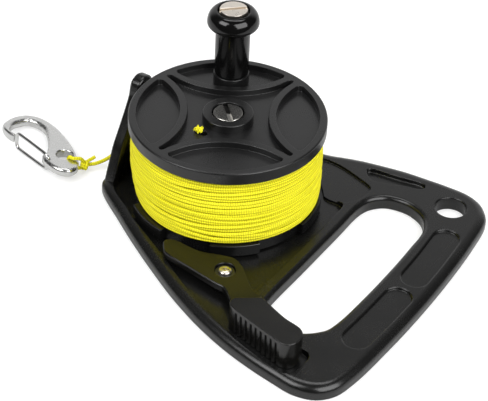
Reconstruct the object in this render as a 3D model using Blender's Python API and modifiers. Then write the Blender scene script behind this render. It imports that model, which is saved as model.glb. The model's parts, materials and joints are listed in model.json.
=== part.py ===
"""Hand held dive reel: frame with grip and line guide arm, spool of line, knob, lever and snap hook.

Metres, +Z up. The origin is on the spool's axis, at the flat back of the frame, and +X runs
from the spool to the grip.
"""
import math

import bmesh
import bpy
from mathutils import Matrix, Vector

MM = 0.001

# Fits and steps
GAP = 0.3 * MM
OVERRUN = 1.5 * MM
WELD = 0.005 * MM
ROUND_STEPS = 32
FLANGE_STEPS = 72
SMALL_STEPS = 20
EDGE_STEPS = 2
COARSE_EDGE_STEPS = 1
CUTTER_TURN_DEGREES = 4.3
HALF_TURN_DEGREES = 180.0

# Spool
FLANGE_RADIUS = 45.0 * MM
FLANGE_THICKNESS = 6.0 * MM
LINE_WIDTH = 34.5 * MM
CORE_RADIUS = 16.0 * MM
SPIGOT_RADIUS = 12.0 * MM
SPIGOT_DEPTH = 4.0 * MM
FLANGE_ROUNDING = 0.9 * MM
RATCHET_TEETH = 6
RATCHET_GAP_DEGREES = 31.0
RATCHET_GAP_START_DEGREES = -96.4
RATCHET_DEPTH = 3.0 * MM

# Face of the top flange
RIM_INSET = 3.5 * MM
PAN_DEPTH = 3.0 * MM
LENS_ARC_RADIUS = 36.8 * MM
LENS_APEX_RADIUS = 21.7 * MM
RIB_WIDTH = 3.4 * MM
HORN_TIP_RADIUS = 1.2 * MM
HORN_RIM_WALL = 0.6 * MM
LENS_CORNER_RADIUS = 1.8 * MM
LENS_COUNT = 4
FACE_TURN_DEGREES = 31.3
LENS_POINT_STEPS = 8
HUB_RADIUS = 11.6 * MM
HUB_RISE = 1.0 * MM

# Axle
POST_RADIUS = 6.0 * MM
BUSH_WALL = 1.3 * MM
AXLE_HEAD_RADIUS = 6.7 * MM
AXLE_HEAD_HEIGHT = 3.0 * MM
AXLE_HEAD_CLEARANCE = 0.7 * MM
AXLE_SHANK_RADIUS = 2.5 * MM
AXLE_SHANK_LENGTH = 18.0 * MM
AXLE_WASHER_THICKNESS = 1.0 * MM
INSERT_WALL = 0.7 * MM
AXLE_INSERT_LENGTH = 16.0 * MM
THRUST_WASHER_RADIUS = 16.0 * MM
THRUST_WASHER_THICKNESS = 0.4 * MM
SLOT_WIDTH = 1.7 * MM
SLOT_DEPTH = 1.4 * MM
AXLE_SLOT_DEGREES = -44.2
HEAD_ROUNDING = 0.8 * MM

# Line
LINE_DIAMETER = 1.8 * MM
WINDING_INSET = 1.5 * MM
WINDING_BULGE = 1.0 * MM
WINDING_END_DEGREES = 168.0
WINDING_STEPS = 24
LEAST_LINE_GAP = 0.42 * MM

# Frame plate
PLATE_THICKNESS = 7.0 * MM
PLATE_ROUNDING = 2.4 * MM
PAN_FLOOR = 4.5 * MM
PAN_CLEARANCE = 1.4 * MM
FRAME_OVERHANG = 1.7 * MM
FRAME_NEAR_MARGIN = 7.4 * MM
FRAME_FAR_MARGIN = 23.0 * MM
HAND_HOLE_WALL = 11.3 * MM
HAND_HOLE_WIDTH = 33.4 * MM
NEAR_STRIP_WIDTH = 3.56 * MM
FAR_BAR_WIDTH = 25.4 * MM
GRIP_WIDTH = 23.5 * MM
LANYARD_HOLE_RADIUS = 7.3 * MM
LANYARD_HOLE_END_INSET = 21.6 * MM
LANYARD_HOLE_SIDE_INSET = 16.0 * MM
POCKET_DEPTH = 1.2 * MM
POCKET_HALF_WIDTH = 6.2 * MM
RECESS_DEPTH = 1.2 * MM
DEEP_RECESS_DEPTH = 2.2 * MM

# Line guide arm
ARM_CLEARANCE = 1.3 * MM
ARM_THICKNESS = 5.7 * MM
ARM_RISE = 0.5 * MM
ARM_BASE_HALF_WIDTH = 25.0 * MM
ARM_ROUNDING = 1.2 * MM
ARM_RECESS_DEPTH = 1.8 * MM
GUIDE_HOLE_HEIGHT = 24.0 * MM
GUIDE_HOLE_HALF_LENGTH = 6.0 * MM
GUIDE_HOLE_RADIUS = 3.6 * MM

# Knob
KNOB_INSET = 14.0 * MM
KNOB_DIRECTION_DEGREES = 120.7
KNOB_BOSS_RADIUS = 8.3 * MM
KNOB_BOSS_HEIGHT = 5.3 * MM
KNOB_HEIGHT = 32.8 * MM
KNOB_SHAFT_RADIUS = 8.0 * MM
KNOB_HEAD_RADIUS = 12.0 * MM
KNOB_HEAD_HEIGHT = 8.9 * MM
KNOB_WIDEST_SHARE = 0.315
KNOB_CUP_RADIUS = 7.4 * MM
KNOB_CUP_DEPTH = 3.3 * MM
KNOB_SLEEVE_RADIUS = 4.0 * MM
KNOB_SHANK_RADIUS = 2.5 * MM
KNOB_SCREW_RADIUS = 6.4 * MM
KNOB_SCREW_HEIGHT = 2.4 * MM
KNOB_WASHER_THICKNESS = 0.8 * MM
KNOB_SLOT_DEGREES = 44.5
KNOB_INSERT_LENGTH = 6.5 * MM
KNOB_INSERT_RADIUS = 3.5 * MM

# Lever
LEVER_PIVOT_INSET = 12.0 * MM
LEVER_PIVOT_CLEARANCE = 5.0 * MM
LEVER_REACH = 33.0 * MM
LEVER_CLEARANCE = 0.4 * MM
LEVER_THICKNESS = 3.6 * MM
LEVER_ROUNDING = 0.6 * MM
PAD_CLEARANCE = 0.8 * MM
SKIRT_CLEARANCE = 0.4 * MM
PAD_RISE = 7.2 * MM
PAD_ROUNDING = 0.8 * MM
PAD_LIP = 1.6 * MM
RIB_COUNT = 9
RIB_DEPTH = 0.7 * MM
RIB_SHARES = (0.10, 0.30, 0.55, 0.75)
PAD_EDGE_SHARE = 0.3
LEVER_BOSS_RADIUS = 5.5 * MM
LEVER_BORE_RADIUS = 3.7 * MM
LEVER_CUP_RADIUS = 4.7 * MM
LEVER_CUP_DEPTH = 2.8 * MM
LEVER_SHANK_RADIUS = 1.5 * MM
LEVER_HEAD_RADIUS = 2.9 * MM
LEVER_HEAD_HEIGHT = 1.4 * MM
LEVER_INSERT_LENGTH = 4.4 * MM
LEVER_WASHER_THICKNESS = 0.5 * MM
LEVER_SPRING_HEIGHT = 0.6 * MM
CROSS_WIDTH = 0.8 * MM
CROSS_REACH_SHARE = 0.6
CROSS_FLOOR_SHARE = 0.25
CROWN_DROP_SHARE = 0.2

# Snap hook
HOOK_CENTRE = (-80.9 * MM, -18.0 * MM, 4.4 * MM)
HOOK_TURN_DEGREES = -9.0
HOOK_TILT_DEGREES = -8.2
HOOK_THICKNESS = 4.4 * MM
HOOK_ROUNDING = 1.0 * MM
HOOK_LENGTH = 53.3 * MM
HOOK_WIDTH = 27.2 * MM
HOOK_EDGE = 2.5 * MM
HOOK_EYE_RADIUS = 4.2 * MM
HOOK_EYE_PLACE = (2.7 * MM, -2.0 * MM)
GATE_WIRE_RADIUS = 0.85 * MM
GATE_HINGE_PLACE = (1.0 * MM, -11.3 * MM)
GATE_LENGTH = 24.7 * MM
GATE_ANGLE_DEGREES = 174.2
GATE_HALF_WIDTH = 4.0 * MM
GATE_PIN_DEPTH = 1.3 * MM
GATE_BEND_SHARE = 0.55
GATE_ELBOW_SHARES = (0.333, 0.125)
GATE_MIDDLE_SHARE = 0.4
GATE_CORNER_SHARE = 0.6
GATE_LEAD_SHARE = 1.5

# Sizes that follow
RIM_RADIUS = FLANGE_RADIUS - RIM_INSET
WINDING_RADIUS = FLANGE_RADIUS - WINDING_INSET
KNOB_OFFSET = FLANGE_RADIUS - KNOB_INSET
THRUST_WASHER_BOTTOM = PAN_FLOOR + GAP
DRUM_BOTTOM = THRUST_WASHER_BOTTOM + THRUST_WASHER_THICKNESS + GAP
LINE_BOTTOM = DRUM_BOTTOM + FLANGE_THICKNESS
LINE_TOP = LINE_BOTTOM + LINE_WIDTH
FLANGE_TOP = LINE_TOP + FLANGE_THICKNESS
PAN_TOP = FLANGE_TOP - PAN_DEPTH
HUB_TOP = FLANGE_TOP + HUB_RISE
AXLE_HEAD_BOTTOM = HUB_TOP - AXLE_HEAD_HEIGHT
AXLE_WASHER_BOTTOM = AXLE_HEAD_BOTTOM - GAP - AXLE_WASHER_THICKNESS
POST_TOP = AXLE_WASHER_BOTTOM - GAP
BUSH_INNER_RADIUS = POST_RADIUS + GAP
BUSH_OUTER_RADIUS = BUSH_INNER_RADIUS + BUSH_WALL
BORE_RADIUS = BUSH_OUTER_RADIUS + GAP
HEAD_CUP_RADIUS = AXLE_HEAD_RADIUS + AXLE_HEAD_CLEARANCE
BUSH_TOP = POST_TOP - GAP
LINE_RADIUS = LINE_DIAMETER / 2
WINDING_PATH_RADIUS = WINDING_RADIUS - LINE_RADIUS
LINE_CORE_RADIUS = WINDING_PATH_RADIUS - LINE_RADIUS - GAP
WINDING_TURNS = int((LINE_WIDTH - 2 * GAP - LINE_DIAMETER) / (LINE_DIAMETER + LEAST_LINE_GAP))
ARM_INNER_X = -(FLANGE_RADIUS + ARM_CLEARANCE)
ARM_OUTER_X = ARM_INNER_X - ARM_THICKNESS
ARM_HEIGHT = FLANGE_TOP + ARM_RISE
LEVER_PIVOT = (FLANGE_RADIUS - LEVER_PIVOT_INSET, -(FLANGE_RADIUS + LEVER_PIVOT_CLEARANCE))
LEVER_BOTTOM = PLATE_THICKNESS + LEVER_CLEARANCE
LEVER_TOP = LEVER_BOTTOM + LEVER_THICKNESS
PAD_BOTTOM = PLATE_THICKNESS + PAD_CLEARANCE
PAD_TOP = LEVER_TOP + PAD_RISE
SKIRT_BOTTOM = PAN_FLOOR + SKIRT_CLEARANCE
KNOB_PLACE = (KNOB_OFFSET * math.cos(math.radians(KNOB_DIRECTION_DEGREES)),
              KNOB_OFFSET * math.sin(math.radians(KNOB_DIRECTION_DEGREES)))
KNOB_BOSS_TOP = PAN_TOP + KNOB_BOSS_HEIGHT
KNOB_BOTTOM = KNOB_BOSS_TOP + GAP
KNOB_TOP = KNOB_BOTTOM + KNOB_HEIGHT
KNOB_CUP_FLOOR = KNOB_TOP - KNOB_CUP_DEPTH
LEVER_CUP_FLOOR = LEVER_TOP - LEVER_CUP_DEPTH
LEVER_BOSS_TOP = LEVER_BOTTOM - GAP

# Outlines, as shares of the sizes that they follow
FRAME_ZONE_SHARES = (0.0, 0.6591, 0.8592, 1.0)
FRAME_SIDE_SHARES = (0.0, 0.5685, 1.0)
FRAME_OUTLINE_SHARES = (
    (0.0, 0.438), (0.009, 0.405), (0.13, 0.315), (0.235, 0.245), (0.336, 0.183), (0.427, 0.131),
    (0.536, 0.079), (0.642, 0.041), (0.732, 0.019), (0.811, 0.006), (0.875, 0.0), (0.93, 0.017),
    (0.966, 0.058), (0.983, 0.129), (0.996, 0.314), (1.0, 0.461), (0.998, 0.633), (0.988, 0.81),
    (0.973, 0.919), (0.952, 0.955), (0.926, 0.98), (0.88, 0.998), (0.812, 0.999), (0.747, 0.994),
    (0.681, 0.987), (0.615, 0.973), (0.555, 0.958), (0.507, 0.941), (0.46, 0.923), (0.244, 0.883),
    (0.13, 0.822), (0.009, 0.732), (0.0, 0.699), (0.0, 0.569))
HAND_HOLE_SHARES = (
    (0.0, 0.127), (0.0, 0.41), (0.0, 0.693), (0.0, 0.861), (0.051, 0.926), (0.177, 0.975),
    (0.314, 0.995), (0.554, 1.0), (0.817, 0.963), (0.958, 0.889), (0.991, 0.739), (1.0, 0.561),
    (0.988, 0.364), (0.952, 0.176), (0.904, 0.105), (0.835, 0.073), (0.772, 0.052), (0.695, 0.033),
    (0.575, 0.01), (0.41, 0.0), (0.246, 0.008), (0.126, 0.037), (0.03, 0.08))
WELL_RIM_SHARES = (
    (0.037, 0.425), (0.146, 0.341), (0.253, 0.277), (0.355, 0.218), (0.444, 0.164), (0.55, 0.112),
    (0.597, 0.089), (0.653, 0.066), (0.693, 0.051), (0.739, 0.038), (0.777, 0.029))
WELL_FAR_SHARES = (
    (0.623, 0.705), (0.617, 0.725), (0.6, 0.73), (0.565, 0.73), (0.501, 0.759), (0.322, 0.848),
    (0.25, 0.85), (0.143, 0.788), (0.037, 0.708))
RECESS_SHARES = (
    (0.454, 0.86), (0.457, 0.881), (0.507, 0.887), (0.585, 0.867), (0.641, 0.845), (0.649, 0.832),
    (0.648, 0.794), (0.63, 0.749), (0.609, 0.734), (0.537, 0.727))
DEEP_RECESS_SHARES = (
    (0.595, 0.914), (0.601, 0.925), (0.681, 0.939), (0.759, 0.951), (0.769, 0.94), (0.76, 0.924),
    (0.717, 0.909), (0.669, 0.89), (0.639, 0.878), (0.609, 0.892))
ARM_PROFILE_SHARES = (
    (0.990, 0.130), (0.965, 0.166), (0.830, 0.325), (0.716, 0.434), (0.560, 0.577), (0.420, 0.730),
    (0.345, 0.820), (0.305, 0.884), (0.240, 0.964), (0.060, 1.0), (-0.120, 0.964), (-0.180, 0.894),
    (-0.210, 0.836), (-0.328, 0.730), (-0.524, 0.577), (-0.716, 0.434), (-0.812, 0.329), (-0.956, 0.166),
    (-0.985, 0.130))
ARM_RECESS_SHARES = (
    (-0.840, 0.091), (0.840, 0.091), (0.820, 0.155), (0.580, 0.430), (0.330, 0.680), (0.215, 0.815),
    (0.150, 0.845), (-0.020, 0.845), (-0.070, 0.815), (-0.200, 0.680), (-0.560, 0.430), (-0.800, 0.155))
POCKET_PATH_SHARES = (
    ((0.923, 0.762), (0.929, 0.657), (0.931, 0.559)),
    ((0.931, 0.457), (0.928, 0.353), (0.922, 0.248)))
HOOK_OUTLINE_SHARES = (
    (0.22, 0.46), (0.148, 0.57), (0.075, 0.658), (-0.036, 0.768), (-0.154, 0.864), (-0.295, 0.952),
    (-0.413, 0.996), (-0.523, 1.0), (-0.625, 0.938), (-0.692, 0.816), (-0.724, 0.629), (-0.72, 0.456),
    (-0.692, 0.287), (-0.642, 0.202), (-0.57, 0.154), (-0.51, 0.143), (-0.473, 0.162), (-0.473, 0.202),
    (-0.552, 0.228), (-0.606, 0.324), (-0.63, 0.463), (-0.625, 0.574), (-0.602, 0.728), (-0.55, 0.779),
    (-0.478, 0.798), (-0.398, 0.772), (-0.304, 0.665), (-0.195, 0.489), (-0.111, 0.312), (-0.073, 0.202),
    (-0.073, 0.132), (-0.024, 0.051), (0.079, 0.004), (0.148, 0.004), (0.221, 0.048), (0.274, 0.154),
    (0.276, 0.309))

# Outlines of the lever and the well round its pad, as offsets from its pivot in shares of its reach
LEVER_ARM_SHARES = (
    (-0.939, -0.094), (-1.012, 0.033), (-0.948, 0.124), (-0.5, 0.136), (-0.17, 0.252), (-0.027, 0.276),
    (0.148, 0.2), (0.291, 0.079), (0.527, -0.118), (0.685, -0.173), (0.818, -0.397), (0.636, -0.652),
    (0.515, -0.576), (0.379, -0.464), (0.188, -0.312), (0.036, -0.3), (-0.4, -0.239), (-0.858, -0.164))
PAD_SHARES = (
    (1.455, -0.976), (1.564, -0.952), (1.621, -0.867), (1.618, -0.697), (1.533, -0.606), (1.264, -0.548),
    (0.936, -0.433), (0.821, -0.397), (0.667, -0.5), (0.521, -0.618), (0.533, -0.715), (0.664, -0.788))
WELL_PAD_SHARES = (
    (1.51, -1.1), (1.656, -1.095), (1.732, -1.019), (1.753, -0.88), (1.753, -0.636), (1.702, -0.522),
    (1.576, -0.484), (1.424, -0.484), (0.999, -0.517), (0.817, -0.474), (0.665, -0.364), (0.559, -0.24),
    (0.524, -0.121))
PAD_UNDERCUT_SHARES = (
    (0.364, -0.545), (0.758, -0.63), (1.121, -0.703), (1.455, -0.77), (1.879, -0.848), (1.879, -0.152),
    (0.364, -0.152))

# Places of the frame that its lever and spool set
PAD_LOWEST_SHARE = max(-y for x, y in PAD_SHARES)
WELL_INNER_SHARE = max(-y for x, y in WELL_PAD_SHARES[7:])
FRAME_START = ARM_OUTER_X - FRAME_OVERHANG
FRAME_NEAR_REACH = -LEVER_PIVOT[1] + PAD_LOWEST_SHARE * LEVER_REACH + FRAME_NEAR_MARGIN
FRAME_FAR_REACH = FLANGE_RADIUS + FRAME_FAR_MARGIN
HAND_HOLE_START = FLANGE_RADIUS + HAND_HOLE_WALL
HAND_HOLE_END = HAND_HOLE_START + HAND_HOLE_WIDTH
HAND_HOLE_NEAR_REACH = -LEVER_PIVOT[1] + WELL_INNER_SHARE * LEVER_REACH - NEAR_STRIP_WIDTH
HAND_HOLE_LENGTH = HAND_HOLE_NEAR_REACH + FRAME_FAR_REACH - FAR_BAR_WIDTH
FRAME_END = HAND_HOLE_END + GRIP_WIDTH
LANYARD_HOLE_PLACE = (FRAME_END - LANYARD_HOLE_END_INSET, FRAME_FAR_REACH - LANYARD_HOLE_SIDE_INSET)

# Route of the free line, from the winding through the guide hole to the knot
LEAD_ROUTE = (
    (-44.6 * MM, 9.5 * MM, 25.0 * MM), (-45.4 * MM, 6.0 * MM, 24.4 * MM), (-47.0 * MM, 2.6 * MM, 23.3 * MM),
    (-50.4 * MM, 0.2 * MM, 21.9 * MM), (-54.0 * MM, -1.2 * MM, 19.2 * MM), (-57.0 * MM, -2.6 * MM, 14.6 * MM),
    (-59.4 * MM, -4.0 * MM, 9.0 * MM), (-61.2 * MM, -6.0 * MM, 5.2 * MM), (-63.1 * MM, -9.6 * MM, 3.8 * MM),
    (-65.4 * MM, -13.2 * MM, 3.1 * MM), (-66.9 * MM, -14.8 * MM, 3.0 * MM))
LEAD_POINT_STEPS = 3
KNOT_PLACE = (-69.1 * MM, -17.1 * MM, 2.9 * MM)
KNOT_SIZE = (2.9 * MM, 2.6 * MM, 2.3 * MM)
ANCHOR_PLACE = (-5.0 * MM, -15.7 * MM)
ANCHOR_SIZE = (3.1 * MM, 1.9 * MM, 1.5 * MM)
ANCHOR_TURN_DEGREES = -17.0
ANCHOR_HOLE_RADIUS = 1.5 * MM
BIGHT_RISE_SHARES = (0.55, 1.02, 0.7, 0.75)
BIGHT_REACH_SHARE = 0.65

PLASTIC_BLACK = (0.035, 0.035, 0.034)
GLOSSY_BLACK = (0.012, 0.012, 0.012)
LINE_YELLOW = (0.88, 0.84, 0.03)
NICKEL = (0.70, 0.67, 0.61)
STAINLESS = (0.62, 0.62, 0.60)
BRASS = (0.72, 0.55, 0.25)
NYLON_WHITE = (0.82, 0.81, 0.77)


def clear_scene():
    """Remove whatever the file holds."""
    for item in list(bpy.data.objects):
        bpy.data.objects.remove(item, do_unlink=True)


def new_collection(name):
    """Return a new collection in the scene."""
    group = bpy.data.collections.new(name)
    bpy.context.scene.collection.children.link(group)
    return group


def new_material(name, colour, roughness, metallic):
    """Return a Principled material of one colour."""
    material = bpy.data.materials.new(name)
    material.use_nodes = True
    shader = material.node_tree.nodes["Principled BSDF"]
    shader.inputs["Base Color"].default_value = (*colour, 1.0)
    shader.inputs["Roughness"].default_value = roughness
    shader.inputs["Metallic"].default_value = metallic
    return material


def place(item, material, group):
    """Put an object in its collection with its material."""
    group.objects.link(item)
    if material is not None:
        item.data.materials.append(material)
    else:
        item.hide_render = True
        item.display_type = "WIRE"
    return item


def smooth_shading(mesh):
    """Shade a mesh smooth, apart from its sharp edges."""
    mesh.shade_smooth()
    mesh.set_sharp_from_angle(angle=math.radians(40.0))


def through(points, steps, closed):
    """Return points on a centripetal Catmull-Rom curve through the given points."""
    knots = [Vector(point) for point in points]
    count = len(knots)
    spans = count if closed else count - 1
    out = []
    for span in range(spans):
        near = knots[span]
        far = knots[(span + 1) % count]
        before = knots[span - 1] if closed or span > 0 else near * 2 - far
        after = knots[(span + 2) % count] if closed or span + 2 < count else far * 2 - near
        first = (near - before).length ** 0.5
        middle = (far - near).length ** 0.5
        last = (after - far).length ** 0.5
        leave = (near - before) / first - (far - before) / (first + middle) + (far - near) / middle
        arrive = (far - near) / middle - (after - near) / (middle + last) + (after - far) / last
        leave = leave * middle
        arrive = arrive * middle
        for step in range(steps):
            t = step / steps
            out.append(near * (2 * t ** 3 - 3 * t ** 2 + 1) + leave * (t ** 3 - 2 * t ** 2 + t)
                       + far * (3 * t ** 2 - 2 * t ** 3) + arrive * (t ** 3 - t ** 2))
    if not closed:
        out.append(knots[-1])
    return out


def arc(centre, radius, start, end, steps):
    """Return points on an arc, from one angle in degrees to another."""
    out = []
    for step in range(steps + 1):
        angle = math.radians(start + (end - start) * step / steps)
        out.append(Vector((centre[0] + radius * math.cos(angle), centre[1] + radius * math.sin(angle))))
    return out


def area_of(loop):
    """Return the signed area of a flat loop."""
    total = 0.0
    for index, point in enumerate(loop):
        before = loop[index - 1]
        total += before[0] * point[1] - point[0] * before[1]
    return total / 2


def inset(loop, distance):
    """Return a loop moved inwards, with its points in counter-clockwise order."""
    points = [Vector((point[0], point[1])) for point in loop]
    if area_of(points) < 0:
        points.reverse()
    count = len(points)
    out = []
    for index in range(count):
        ahead = (points[(index + 1) % count] - points[index]).normalized()
        behind = (points[index] - points[index - 1]).normalized()
        bisector = ahead + behind
        normal = Vector((-bisector.y, bisector.x)).normalized()
        stretch = max(normal.dot(Vector((-ahead.y, ahead.x))), 0.5)
        out.append(points[index] + normal * (distance / stretch))
    return out


def as_mesh(item, material, group):
    """Turn a curve object into a welded mesh object in its place."""
    bpy.context.scene.collection.objects.link(item)
    bpy.context.view_layer.update()
    graph = bpy.context.evaluated_depsgraph_get()
    mesh = bpy.data.meshes.new_from_object(item.evaluated_get(graph))
    body = bmesh.new()
    body.from_mesh(mesh)
    bmesh.ops.remove_doubles(body, verts=body.verts, dist=WELD)
    bmesh.ops.recalc_face_normals(body, faces=body.faces)
    body.to_mesh(mesh)
    body.free()
    mesh.materials.clear()
    name = item.name
    matrix = item.matrix_world.copy()
    bpy.data.objects.remove(item, do_unlink=True)
    solid = bpy.data.objects.new(name, mesh)
    solid.matrix_world = matrix
    smooth_shading(mesh)
    return place(solid, material, group)


def flat_solid(name, outline, holes, bottom, top, material, group, rounding=0.0, matrix=None,
               steps=EDGE_STEPS):
    """Return the solid between two heights, from a flat outline and its holes."""
    curve = bpy.data.curves.new(name, "CURVE")
    curve.dimensions = "2D"
    curve.fill_mode = "BOTH"
    curve.extrude = (top - bottom) / 2 - rounding
    curve.bevel_depth = rounding
    curve.bevel_resolution = steps
    loops = [inset(outline, rounding)]
    for hole in holes:
        loops.append(list(reversed(inset(hole, -rounding))))
    for loop in loops:
        spline = curve.splines.new("POLY")
        spline.points.add(len(loop) - 1)
        for spot, point in zip(spline.points, loop):
            spot.co = (point[0], point[1], 0.0, 1.0)
        spline.use_cyclic_u = True
    item = bpy.data.objects.new(name, curve)
    lift = Matrix.Translation((0.0, 0.0, (top + bottom) / 2))
    item.matrix_world = matrix @ lift if matrix is not None else lift
    return as_mesh(item, material, group)


def layered(name, sections, material, group, matrix):
    """Return a solid through flat loops of equal point count, given with their heights from the bottom up."""
    mesh = bpy.data.meshes.new(name)
    points = []
    for loop, height in sections:
        points += [(point[0], point[1], height) for point in loop]
    count = len(sections[0][0])
    faces = [list(reversed(range(count)))]
    for layer in range(len(sections) - 1):
        for index in range(count):
            after = (index + 1) % count
            faces.append((layer * count + index, layer * count + after, (layer + 1) * count + after,
                          (layer + 1) * count + index))
    top = (len(sections) - 1) * count
    faces.append([top + index for index in range(count)])
    mesh.from_pydata(points, [], faces)
    item = bpy.data.objects.new(name, mesh)
    item.matrix_world = matrix
    smooth_shading(mesh)
    return place(item, material, group)


def turned(name, profile, material, group, steps, centre=(0.0, 0.0), closed=True):
    """Return a turned solid from points (radius, height), which run down the outer side."""
    mesh = bpy.data.meshes.new(name)
    count = len(profile)
    edges = [(index, index + 1) for index in range(count - 1)]
    if closed:
        edges.append((count - 1, 0))
    mesh.from_pydata([(radius, 0.0, height) for radius, height in profile], edges, [])
    item = bpy.data.objects.new(name, mesh)
    item.location = (centre[0], centre[1], 0.0)
    place(item, material, group)
    screw = item.modifiers.new("turn", "SCREW")
    screw.angle = math.tau
    screw.axis = "Z"
    screw.steps = steps
    screw.render_steps = steps
    screw.use_merge_vertices = True
    screw.merge_threshold = WELD
    screw.use_smooth_shade = True
    return item


def disc(name, radius, bottom, top, material, group, steps, centre=(0.0, 0.0)):
    """Return a plain cylinder."""
    profile = ((0.0, top), (radius, top), (radius, bottom), (0.0, bottom))
    item = turned(name, profile, material, group, steps, centre, closed=False)
    if material is None:
        item.rotation_euler.z = math.radians(CUTTER_TURN_DEGREES)
    return item


def ring(name, inner, outer, bottom, top, material, group, steps, centre=(0.0, 0.0)):
    """Return a plain tube or washer."""
    profile = ((outer, top), (outer, bottom), (inner, bottom), (inner, top))
    return turned(name, profile, material, group, steps, centre)


def wire(name, points, radius, resolution, material, group):
    """Return a round tube along points, as a curve object."""
    curve = bpy.data.curves.new(name, "CURVE")
    curve.dimensions = "3D"
    curve.bevel_depth = radius
    curve.bevel_resolution = resolution
    curve.use_fill_caps = True
    spline = curve.splines.new("POLY")
    spline.points.add(len(points) - 1)
    for spot, point in zip(spline.points, points):
        spot.co = (point[0], point[1], point[2], 1.0)
    item = bpy.data.objects.new(name, curve)
    if material is None:
        return item
    return place(item, material, group)


def combine(target, tool, operation):
    """Add a Boolean of the given kind to the target."""
    step = target.modifiers.new(tool.name, "BOOLEAN")
    step.operation = operation
    step.solver = "EXACT"
    step.object = tool


def cut(target, *tools):
    """Take the tools out of the target."""
    for tool in tools:
        combine(target, tool, "DIFFERENCE")


def fuse(target, *tools):
    """Add the tools to the target."""
    for tool in tools:
        combine(target, tool, "UNION")


def zoned(share, zone_shares, places):
    """Return where a share lies among places that belong to the given shares."""
    zone = 1
    while share > zone_shares[zone] and zone < len(places) - 1:
        zone += 1
    part = (share - zone_shares[zone - 1]) / (zone_shares[zone] - zone_shares[zone - 1])
    return places[zone - 1] + (places[zone] - places[zone - 1]) * part


def on_frame(shares):
    """Return flat points of the frame: its spool end, hand opening and grip each keep their shares."""
    lengthwise = (FRAME_START, HAND_HOLE_START, HAND_HOLE_END, FRAME_END)
    crosswise = (-FRAME_NEAR_REACH, 0.0, FRAME_FAR_REACH)
    return [Vector((zoned(x, FRAME_ZONE_SHARES, lengthwise), zoned(y, FRAME_SIDE_SHARES, crosswise)))
            for x, y in shares]


def around(path, half_width):
    """Return the outline of a slot with round ends along a path."""
    left = []
    right = []
    for index, point in enumerate(path):
        ahead = path[min(index + 1, len(path) - 1)]
        behind = path[max(index - 1, 0)]
        along = (ahead - behind).normalized()
        side = Vector((-along.y, along.x)) * half_width
        left.append(point + side)
        right.append(point - side)
    start = math.degrees(math.atan2(*reversed(left[0] - path[0])))
    end = math.degrees(math.atan2(*reversed(right[-1] - path[-1])))
    first_cap = arc(path[0], half_width, start, start + HALF_TURN_DEGREES, 6)
    last_cap = arc(path[-1], half_width, end, end + HALF_TURN_DEGREES, 6)
    return first_cap[:-1] + right[:-1] + last_cap[:-1] + list(reversed(left))[:-1]


def on_arm(shares):
    """Return points across the reel and up, from shares of the arm's half width and height."""
    return [Vector((y * ARM_BASE_HALF_WIDTH, z * ARM_HEIGHT)) for y, z in shares]


def crossing(inside, outside, radius):
    """Return where the line between two points leaves a circle round the origin."""
    near = 0.0
    far = 1.0
    for _ in range(30):
        middle = (near + far) / 2
        if (inside + (outside - inside) * middle).length < radius:
            near = middle
        else:
            far = middle
    return inside + (outside - inside) * near


def joined_with_circle(loop, radius, steps):
    """Return the outline of a loop and a circle round the origin taken together."""
    points = [Vector((point[0], point[1])) for point in loop]
    if area_of(points) < 0:
        points.reverse()
    count = len(points)
    runs = []
    for index in range(count):
        here = points[index]
        if here.length >= radius > points[index - 1].length:
            run = [crossing(points[index - 1], here, radius)]
            step = index
            while points[step % count].length >= radius:
                run.append(points[step % count])
                step += 1
            run.append(crossing(points[step % count], points[(step - 1) % count], radius))
            runs.append(run)
    runs.sort(key=lambda run: math.atan2(run[0].y, run[0].x))
    out = []
    for index, run in enumerate(runs):
        out += run
        after = runs[(index + 1) % len(runs)]
        start = math.degrees(math.atan2(run[-1].y, run[-1].x))
        end = math.degrees(math.atan2(after[0].y, after[0].x))
        end += 360.0 if end < start else 0.0
        pieces = max(1, round((end - start) * steps / 360.0))
        out += arc((0.0, 0.0), radius, start, end, pieces)[1:-1]
    return out


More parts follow.
